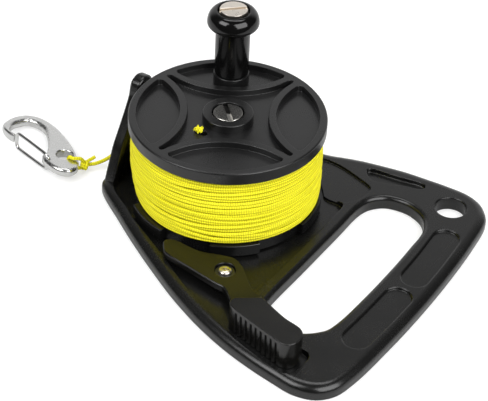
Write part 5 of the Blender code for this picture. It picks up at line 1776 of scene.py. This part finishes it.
@dataclass
class AnchorKnot:
    """The line's inner end, knotted and frayed above the small hole in the top flange."""

    place: Triple = (-5.3 * MM, -15.7 * MM, 50.0 * MM)
    floor: float = 49.0 * MM
    hole_place: Pair = (-2.7 * MM, -15.4 * MM)
    loop_turns: float = 2.2
    loop_size: Triple = (1.35 * MM, 0.85 * MM, 0.8 * MM)
    loop_radius: float = 0.72 * MM
    loop_steps: int = 59
    strands: int = 15
    strand_radius: float = 0.30 * MM
    strand_lengths: Pair = (1.3 * MM, 2.3 * MM)
    strand_lifts: Pair = (0.1, 0.9)
    strand_start: float = 0.8 * MM
    squash: float = 0.7
    droop: float = 0.35
    clearance: float = 0.2 * MM
    seed: int = 11

    def build(self, dresser: Dresser) -> None:
        """Make the knot and its frayed end.

        Args:
            dresser: Puts pieces on their bodies.
        """
        chance = np.random.default_rng(self.seed)
        centre = Vector(self.place)
        long, wide, high = self.loop_size
        turns = []
        for step in range(self.loop_steps + 1):
            share = step / self.loop_steps
            angle = FULL_TURN * self.loop_turns * share
            spot = Vector((long * math.cos(angle), wide * math.sin(angle), (share - 0.4) * high))
            turns.append(centre + spot)
        knot = tube("line_anchor_knot_loops", turns, self.loop_radius, 12)
        dresser.wear(knot, "spool", "line", ["line_anchor_knot"], Shade.SMOOTH)
        least = self.floor + self.clearance
        for index in range(self.strands):
            angle = chance.uniform(0.0, FULL_TURN)
            length = chance.uniform(*self.strand_lengths)
            lift = chance.uniform(*self.strand_lifts)
            way = Vector((math.cos(angle), math.sin(angle) * self.squash, lift)).normalized()
            droop = Vector((0.0, 0.0, -self.droop * length))
            base = centre + way * self.strand_start
            path = through([base, base + way * length * 0.5, base + way * length + droop], 4, False)
            path = [Vector((spot.x, spot.y, max(spot.z, least))) for spot in path]
            strand = tube(f"line_fray_{index + 1}", path, self.strand_radius, 8)
            dresser.wear(strand, "spool", "line", (), Shade.SMOOTH)


@dataclass
class Knob:
    """The winding knob: shaft, round head and the cup that its screw sits in."""

    bottom: float = 54.6 * MM
    top: float = 87.4 * MM
    shaft_radius: float = 8.0 * MM
    head_radius: float = 12.0 * MM
    head_height: float = 8.9 * MM
    widest_share: float = 0.315
    cup_radius: float = 7.4 * MM
    cup_depth: float = 3.3 * MM
    bore_radius: float = 4.3 * MM
    lip: float = 0.4 * MM
    foot: float = 0.8 * MM

    def build(self, dresser: Dresser) -> None:
        """Make the knob.

        Args:
            dresser: Puts pieces on their bodies.
        """
        neck = self.top - self.head_height
        middle = neck + self.head_height * self.widest_share
        edge = self.cup_radius + self.lip
        foot_top = self.bottom + self.foot
        profile = [(self.bore_radius, self.bottom)]
        foot_start = (self.shaft_radius - self.foot / 2, self.bottom)
        profile += quarter(foot_start, (self.shaft_radius, foot_top), 4, False)
        for share in (0.25, 0.5, 0.75):
            profile.append((self.shaft_radius, foot_top + (neck - self.bottom) * share))
        profile += quarter((self.shaft_radius, neck), (self.head_radius, middle), 10, False)
        profile += quarter((self.head_radius, middle), (edge, self.top), 18)[1:]
        profile += quarter((edge, self.top), (self.cup_radius, self.top - self.lip), 4, False)[1:]
        floor = self.top - self.cup_depth
        profile += [(self.cup_radius, floor + self.lip), (self.cup_radius - self.lip, floor),
                    (self.bore_radius, floor)]
        knob = turned("knob_moulding", profile, 128, dresser.pivot("knob_spin"), True)
        dresser.wear(knob, "knob", "knob_plastic", ["knob_grip"])


@dataclass
class SlottedScrew:
    """A screw with a slot right across its chamfered head."""

    name: str
    body: str
    node: str
    radius: float
    bottom: float
    top: float
    shank_radius: float
    shank_bottom: float
    slot_turn: float
    slot_width: float = 1.7 * MM
    slot_depth: float = 1.4 * MM
    chamfer: float = 0.2 * MM
    crown: float = 0.12 * MM
    slot_edge: float = 0.12 * MM
    finish: str = "plated_steel"

    def build(self, dresser: Dresser, centre: Vector) -> None:
        """Make the screw.

        Args:
            dresser: Puts it on its body.
            centre: Where its axis stands.
        """
        rim = self.top - self.crown
        shoulder = rim - self.chamfer
        inner = self.radius - self.chamfer
        profile = [(self.shank_radius, self.shank_bottom), (self.shank_radius, self.bottom),
                   (self.radius, self.bottom)]
        profile += quarter((self.radius, shoulder), (inner, rim), 4)
        for share in (0.75, 0.5, 0.25, 0.03):
            profile.append((inner * share, self.top - self.crown * share ** 2))
        screw = turned(self.name, profile, 96, centre)
        reach = self.radius + OVERRUN
        half = self.slot_width / 2
        turn = Matrix.Rotation(math.radians(self.slot_turn), 4, "Z")
        cutter = prism(f"{self.name}_slot", rectangle((-reach, -half), (reach, half)),
                       [(0.0, self.top - self.slot_depth), (0.0, rim - self.slot_edge),
                        (self.slot_edge, self.top), (self.slot_edge, self.top + OVERRUN)],
                       Matrix.Translation((centre.x, centre.y, 0.0)) @ turn)
        carved(screw, [cutter], "DIFFERENCE")
        dresser.wear(screw, self.body, "plated_steel", [self.node], finish=self.finish)


@dataclass
class Lever:
    """The brake lever with its ribbed thumb pad, and the cross slotted screw at its pivot."""

    reach: float = 33.0 * MM
    bottom: float = 7.4 * MM
    top: float = 11.0 * MM
    edge: float = 0.7 * MM
    pad_bottom: float = 7.8 * MM
    skirt_bottom: float = 4.9 * MM
    pad_top: float = 18.2 * MM
    pad_edge: float = 0.42 * MM
    lip: float = 1.6 * MM
    rib_count: int = 9
    rib_depth: float = 0.95 * MM
    rib_rest: float = 0.2
    rib_roundness: float = 0.6
    rib_steps: int = 12
    bore_radius: float = 3.7 * MM
    cup_radius: float = 4.7 * MM
    cup_depth: float = 2.8 * MM
    cup_edges: Pair = (0.35 * MM, 0.2 * MM)
    screw_radius: float = 2.9 * MM
    screw_bottom: float = 10.15 * MM
    screw_top: float = 11.55 * MM
    shank_radius: float = 1.5 * MM
    shank_bottom: float = 3.0 * MM
    screw_rim: float = 0.4 * MM
    screw_flat: float = 0.2 * MM
    cross_width: float = 0.8 * MM
    cross_reach: float = 0.62
    cross_turn: float = 20.0
    cross_taper: float = 0.15 * MM
    cross_floor: float = 0.3 * MM
    pivot: Vector = field(init=False)
    place: Matrix = field(init=False)

    def build(self, dresser: Dresser) -> None:
        """Make the lever and its screw.

        Args:
            dresser: Puts pieces on their bodies.
        """
        self.pivot = dresser.pivot("lever_pivot")
        self.place = Matrix.Translation((self.pivot.x, self.pivot.y, 0.0))
        edges = slab_profile((self.bottom, self.top), (self.edge, self.edge), (3, 5))
        arm = through(self._from_pivot(LEVER_ARM_SHARES), 8, True)
        lever = prism("lever_moulding", arm, edges, self.place)
        carved(lever, [self._pad()], "UNION")
        bore = cylinder("lever_bore", self.pivot, self.bore_radius, (self.bottom - OVERRUN, self.top), 48)
        cup = prism("lever_cup", circle(self.pivot, self.cup_radius, 64),
                    recess_profile(self.top - self.cup_depth, self.top, *self.cup_edges))
        carved(lever, [bore, cup], "DIFFERENCE")
        dresser.wear(lever, "lever", "lever_plastic", ["brake_lever"])
        self._screw(dresser)

    def _from_pivot(self, shares: Shares) -> Outline:
        """Return flat points from shares of the lever's reach, measured from its pivot."""
        return [Vector((x * self.reach, y * self.reach)) for x, y in shares]

    def _pad_outline(self, depth: float) -> Outline:
        """Return the outline of the thumb pad.

        Args:
            depth: How deep the grooves between its ribs are.

        Returns:
            The outline.
        """
        corners = self._from_pivot(PAD_SHARES)
        start = corners[-1]
        step = (corners[0] - start) / self.rib_count
        touching_side = Vector((-step.y, step.x)).normalized() * depth
        side = []
        for index in range(self.rib_count):
            for part in range(self.rib_steps):
                share = part / self.rib_steps
                wave = max(0.0, math.sin(FULL_TURN * share) - self.rib_rest) / (1.0 - self.rib_rest)
                side.append(start + step * (index + share) + touching_side * wave ** self.rib_roundness)
        steps = 8
        return side + through(corners, steps, True)[:-steps]

    def _pad(self) -> Piece:
        """Return the thumb pad."""
        plain = self._pad_outline(0.0)
        ribbed = self._pad_outline(self.rib_depth)
        lip = self.pad_top - self.lip
        levels = [(ribbed, self.skirt_bottom), (ribbed, lip - self.rib_depth), (plain, lip)]
        for inset, height in quarter((0.0, self.pad_top - self.pad_edge), (self.pad_edge, self.pad_top), 5):
            levels.append((grown(plain, -inset) if inset else plain, height))
        pad = lofted("thumb_pad", [lifted(loop, height, self.place) for loop, height in levels])
        under = prism("pad_undercut", self._from_pivot(PAD_UNDERCUT_SHARES),
                      [(0.0, self.skirt_bottom - OVERRUN), (0.0, self.pad_bottom)], self.place)
        return carved(pad, [under], "DIFFERENCE")

    def _screw(self, dresser: Dresser) -> None:
        """Make the cross slotted screw.

        Args:
            dresser: Puts pieces on their bodies.
        """
        rim = self.screw_bottom + self.screw_rim
        profile = [(self.shank_radius, self.shank_bottom), (self.shank_radius, self.screw_bottom),
                   (self.screw_radius, self.screw_bottom)]
        profile += quarter((self.screw_radius, rim), (self.screw_flat, self.screw_top), 8)
        screw = turned("lever_screw_head", profile, 64, self.pivot)
        half = self.cross_width / 2
        arm = self.screw_radius * self.cross_reach
        cross = []
        for index in range(4):
            turn = Matrix.Rotation(QUARTER_TURN * index + math.radians(self.cross_turn), 2)
            cross += [turn @ Vector((arm, -half)), turn @ Vector((arm, half)), turn @ Vector((half, half))]
        floor = self.screw_bottom + self.cross_floor
        cutter = prism("lever_screw_cross", cross,
                       [(-self.cross_taper, floor), (0.0, self.screw_top + OVERRUN)], self.place)
        carved(screw, [cutter], "DIFFERENCE")
        dresser.wear(screw, "frame_body", "plated_steel", ["lever_screw"])


@dataclass
class LeadAndHook:
    """The free line through the guide hole, its knot, the snap hook and the hook's wire gate."""

    centre: Triple = (-80.9 * MM, -18.0 * MM, 4.4 * MM)
    turn: float = -9.0
    tilt: float = -8.2
    thickness: float = 4.4 * MM
    length: float = 53.3 * MM
    width: float = 27.2 * MM
    edge: float = 1.7 * MM
    limb_share: float = 0.8
    hinge_edge: float = 2.5 * MM
    hinge_hole_edge: float = 0.2 * MM
    eye_place: Pair = (2.7 * MM, -2.0 * MM)
    eye_radius: float = 4.2 * MM
    eye_edge: float = 0.7 * MM
    hinge_place: Pair = (1.0 * MM, -11.3 * MM)
    wire_radius: float = 0.85 * MM
    gate_length: float = 24.7 * MM
    gate_angle: float = 174.2
    gate_half_width: float = 4.0 * MM
    gate_bend: float = 0.55
    gate_corner: float = 0.6
    gate_middle: float = 0.4
    nose_steps: int = 5
    pin_depth: float = 1.3 * MM
    knot_place: Triple = (-69.1 * MM, -17.1 * MM, 2.9 * MM)
    ring_clearance: float = 0.12 * MM
    eye_clearance: float = 0.15 * MM
    bight_aside: float = 0.7 * MM
    coil_radius: float = LINE_RADIUS * 0.92
    core_reach: float = 2.0 * MM
    knot_turns: float = 2.6
    knot_length: float = 3.0 * MM
    knot_half_width: float = 1.9 * MM
    knot_half_height: float = 1.5 * MM
    knot_steps: int = 80
    tail_route: tuple[Triple, ...] = (
        (-68.3 * MM, -16.2 * MM, 4.5 * MM), (-67.8 * MM, -14.9 * MM, 5.1 * MM),
        (-67.3 * MM, -13.4 * MM, 5.3 * MM), (-66.6 * MM, -11.9 * MM, 5.8 * MM))
    matrix: Matrix = field(init=False)

    def build(self, dresser: Dresser) -> None:
        """Make the cord and what is on it.

        Args:
            dresser: Puts pieces on their bodies.
        """
        turn = Matrix.Rotation(math.radians(self.turn), 4, "Z")
        tilt = Matrix.Rotation(math.radians(self.tilt), 4, "X")
        self.matrix = Matrix.Translation(self.centre) @ turn @ tilt
        hook = self._hook(dresser)
        gate = self._gate(dresser)
        knot = self._knot(dresser)
        path = through(LEAD_ROUTE, 6, False)
        lead = tube("lead_cord", path, LINE_RADIUS, 14)
        dresser.wear(lead, "frame_body", "line", ["lead_line"], Shade.SMOOTH)
        length = sum((path[index + 1] - path[index]).length for index in range(len(path) - 1))
        LOG.info("lead_cord: %.1f mm long", length / MM)

    def _hook(self, dresser: Dresser) -> Piece:
        """Return the snap hook's body.

        Args:
            dresser: Puts pieces on their bodies.

        Returns:
            The piece.
        """
        half = self.thickness / 2
        low = self.hinge_place[1] - self.hinge_edge
        outline = [Vector((x * self.length, low + y * self.width)) for x, y in HOOK_OUTLINE_SHARES]
        loop = counter_clockwise(through(outline, 6, True))
        limits = np.minimum(limb_radii(loop) * self.limb_share, self.edge)
        smoothings = 12
        for _ in range(smoothings):
            limits = np.minimum(limits, (np.roll(limits, 1) + limits + np.roll(limits, -1)) / 3)
        edges = quarter((1.0, -half), (0.0, -half + self.edge), 6, False)
        edges += quarter((0.0, half - self.edge), (1.0, half), 6)
        rings = [lifted(worn_limbs(loop, limits, share), height, self.matrix) for share, height in edges]
        hook = lofted("hook_body", rings)
        tools = [
            prism("eye", circle(self.eye_place, self.eye_radius, 64),
                  hole_profile(-half, half, self.eye_edge, self.eye_edge), self.matrix),
            prism("gate_hole", circle(self.hinge_place, self.wire_radius + GAP, 32),
                  hole_profile(-half, half, self.hinge_hole_edge, self.hinge_hole_edge), self.matrix)]
        carved(hook, tools, "DIFFERENCE")
        return dresser.wear(hook, "frame_body", "hook_steel", ["snap_hook"])

    def _gate(self, dresser: Dresser) -> Piece:
        """Return the sprung wire gate: two legs from the hinge, joined by its nose.

        Args:
            dresser: Puts pieces on their bodies.

        Returns:
            The piece.
        """
        half = self.thickness / 2
        turn = math.radians(self.gate_angle)
        along = Vector((math.cos(turn), math.sin(turn), 0.0))
        out = Vector((0.0, 0.0, 1.0))
        rise = half + GAP + self.wire_radius
        bend = rise * self.gate_bend
        corner = self.gate_half_width * self.gate_corner
        # One leg: out of the pin's hole, round the bend and along, spreading to the nose's width
        leg = [out * (half - self.pin_depth), out * (rise - bend / 2),
               along * (bend / 3) + out * (rise - bend / 8), along * bend + out * (rise + GAP),
               along * (self.gate_length * self.gate_middle)
               + out * ((rise + self.gate_half_width) / 2 + GAP),
               along * (self.gate_length - corner * 1.5) + out * self.gate_half_width]
        for step in range(1, self.nose_steps):
            angle = QUARTER_TURN * step / self.nose_steps
            leg.append(along * (self.gate_length - corner + corner * math.sin(angle))
                       + out * (self.gate_half_width - corner + corner * math.cos(angle)))
        other = [Vector((point.x, point.y, -point.z)) for point in reversed(leg)]
        place = self.matrix @ Matrix.Translation((*self.hinge_place, 0.0))
        path = [place @ point for point in through(leg + [along * self.gate_length] + other, 4, False)]
        gate = tube("gate_wire", path, self.wire_radius, 20)
        return dresser.wear(gate, "gate", "gate_wire", ["hook_gate"], Shade.SMOOTH)

    def _knot(self, dresser: Dresser) -> list[Piece]:
        """Return the knot: a bight through the hook's eye, the coils round the line and the cut end.

        Args:
            dresser: Puts pieces on their bodies.

        Returns:
            Its pieces.
        """
        back = self.matrix.inverted() @ Vector(self.knot_place)
        over = self.thickness / 2 + self.ring_clearance + LINE_RADIUS
        eye_x, eye_y = self.eye_place
        inner = eye_x + self.eye_radius - LINE_RADIUS - self.eye_clearance
        aside = eye_y - self.bight_aside
        # The bight in the hook's own frame: over the ring, down through the eye and back underneath
        bight = [back + Vector((0.3 * MM, -0.6 * MM, 1.6 * MM)),
                 Vector((back.x - 0.4 * MM, back.y - 2.6 * MM, over * 0.95)),
                 Vector((inner + 3.0 * MM, aside + 0.1 * MM, over)),
                 Vector((inner + 0.7 * MM, aside, over * 0.9)),
                 Vector((inner, aside, 0.0)),
                 Vector((inner + 0.6 * MM, aside, -over * 0.8)),
                 Vector((inner + 2.4 * MM, aside + 0.8 * MM, -over * 0.9)),
                 Vector((back.x - 0.8 * MM, back.y - 1.2 * MM, -over * 0.75)),
                 back + Vector((0.0, 0.0, -LINE_RADIUS / 2))]
        path = [self.matrix @ point for point in through(bight, 6, False)]
        loop = tube("hook_knot_bight", path, LINE_RADIUS, 14)
        centre = Vector(self.knot_place)
        end = Vector(LEAD_ROUTE[-1])
        axis = (end - self.matrix @ Vector((inner, eye_y, 0.0))).normalized()
        side = axis.cross(Vector((0.0, 0.0, 1.0))).normalized()
        rise = side.cross(axis)
        coils = []
        for step in range(self.knot_steps + 1):
            share = step / self.knot_steps
            angle = FULL_TURN * self.knot_turns * share
            spot = centre + axis * ((share - 0.5) * self.knot_length)
            coils.append(spot + side * (self.knot_half_width * math.cos(angle))
                         + rise * (self.knot_half_height * math.sin(angle)))
        tail = through([coils[-1], *self.tail_route], 6, False)[1:]
        wound = tube("hook_knot_coils", coils + tail, self.coil_radius, 14)
        path = through([centre - axis * self.core_reach, centre, end], 4, False)
        core = tube("hook_knot_core", path, LINE_RADIUS, 12)
        out = []
        for piece, nodes in ((loop, ["hook_knot"]), (wound, ()), (core, ())):
            out.append(dresser.wear(piece, "frame_body", "line", nodes, Shade.SMOOTH))
        return out


def finishes() -> dict[str, Material]:
    """Return the materials: one for each of the record's slots, and those that single pieces have.

    Returns:
        The materials, by name.
    """
    makers = {
        "frame_plastic": Plastic(colour=(0.0045, 0.0045, 0.0043), roughness=0.26),
        "drum_plastic": Plastic(colour=(0.0045, 0.0045, 0.0045), roughness=0.25),
        "flange_plastic": Plastic(colour=(0.0070, 0.0070, 0.0071), roughness=0.29, grain_depth=0.014 * MM),
        "lever_plastic": Plastic(colour=(0.0050, 0.0048, 0.0042), roughness=0.22),
        "knob_plastic": Plastic(colour=(0.003, 0.003, 0.003), roughness=0.13, grain_depth=0.002 * MM,
                                specular=0.42),
        "line": Braid(),
        # The wound line has painted shade where its turns lie side by side
        "wound_line": Braid(wound=True),
        # The bed's line is the same yellow made darker: painted shade under the outer turns
        "shaded_line_bed": Braid(colour=(0.50, 0.45, 0.003), valley_shade=(0.28, 0.24, 0.001)),
        "plated_steel": Metal(colour=(0.80, 0.74, 0.66), roughness=0.30),
        "worn_screw": WornScrew(),
        "washer_steel": Plain(colour=(0.09, 0.09, 0.09), roughness=0.38, metallic=1.0),
        "insert_brass": Plain(colour=(0.72, 0.55, 0.25), roughness=0.35, metallic=1.0),
        "nylon": Plain(),
        "hook_steel": Metal(colour=(0.66, 0.66, 0.65), roughness=0.26),
        "gate_wire": Metal(colour=(0.68, 0.68, 0.67), roughness=0.16),
    }
    return {name: maker.material(name) for name, maker in makers.items()}


def corners(box: tuple[Vector, Vector]) -> list[list[float]]:
    """Return a box as plain lists."""
    return [list(box[0]), list(box[1])]


def main() -> None:
    """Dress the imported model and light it."""
    logging.basicConfig(level=logging.INFO, format="%(name)s %(message)s")
    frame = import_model()
    dresser = Dresser(frame)
    dresser.finishes = finishes()
    Studio().build()
    LeadAndHook().build(dresser)
    FrameMoulding().build(dresser)
    Spool().build(dresser)
    LineWraps().build(dresser)
    AnchorKnot().build(dresser)
    Knob().build(dresser)
    knob_screw = SlottedScrew(
        name="knob_screw_head", body="spool", node="knob_screw", radius=6.4 * MM, bottom=85.8 * MM,
        top=88.2 * MM, shank_radius=2.5 * MM, shank_bottom=48.1 * MM, slot_turn=44.5)
    knob_screw.build(dresser, dresser.pivot("knob_spin"))
    axle_screw = SlottedScrew(
        name="axle_screw_head", body="frame_body", node="axle_screw", radius=6.7 * MM, bottom=50.0 * MM,
        top=53.0 * MM, shank_radius=2.5 * MM, shank_bottom=30.4 * MM, slot_turn=-44.2, slot_width=2.1 * MM,
        slot_depth=1.3 * MM, chamfer=0.45 * MM, finish="worn_screw")
    axle_screw.build(dresser, dresser.pivot("spool_spin"))
    Lever().build(dresser)
    for entry in frame["record"]["subparts"]:
        node = frame["nodes"][entry["node"]]
        if not node.hide_render:
            dresser.keep(entry["node"], dresser.finish(entry["material_slot"]))


if __name__ == "__main__":
    main()
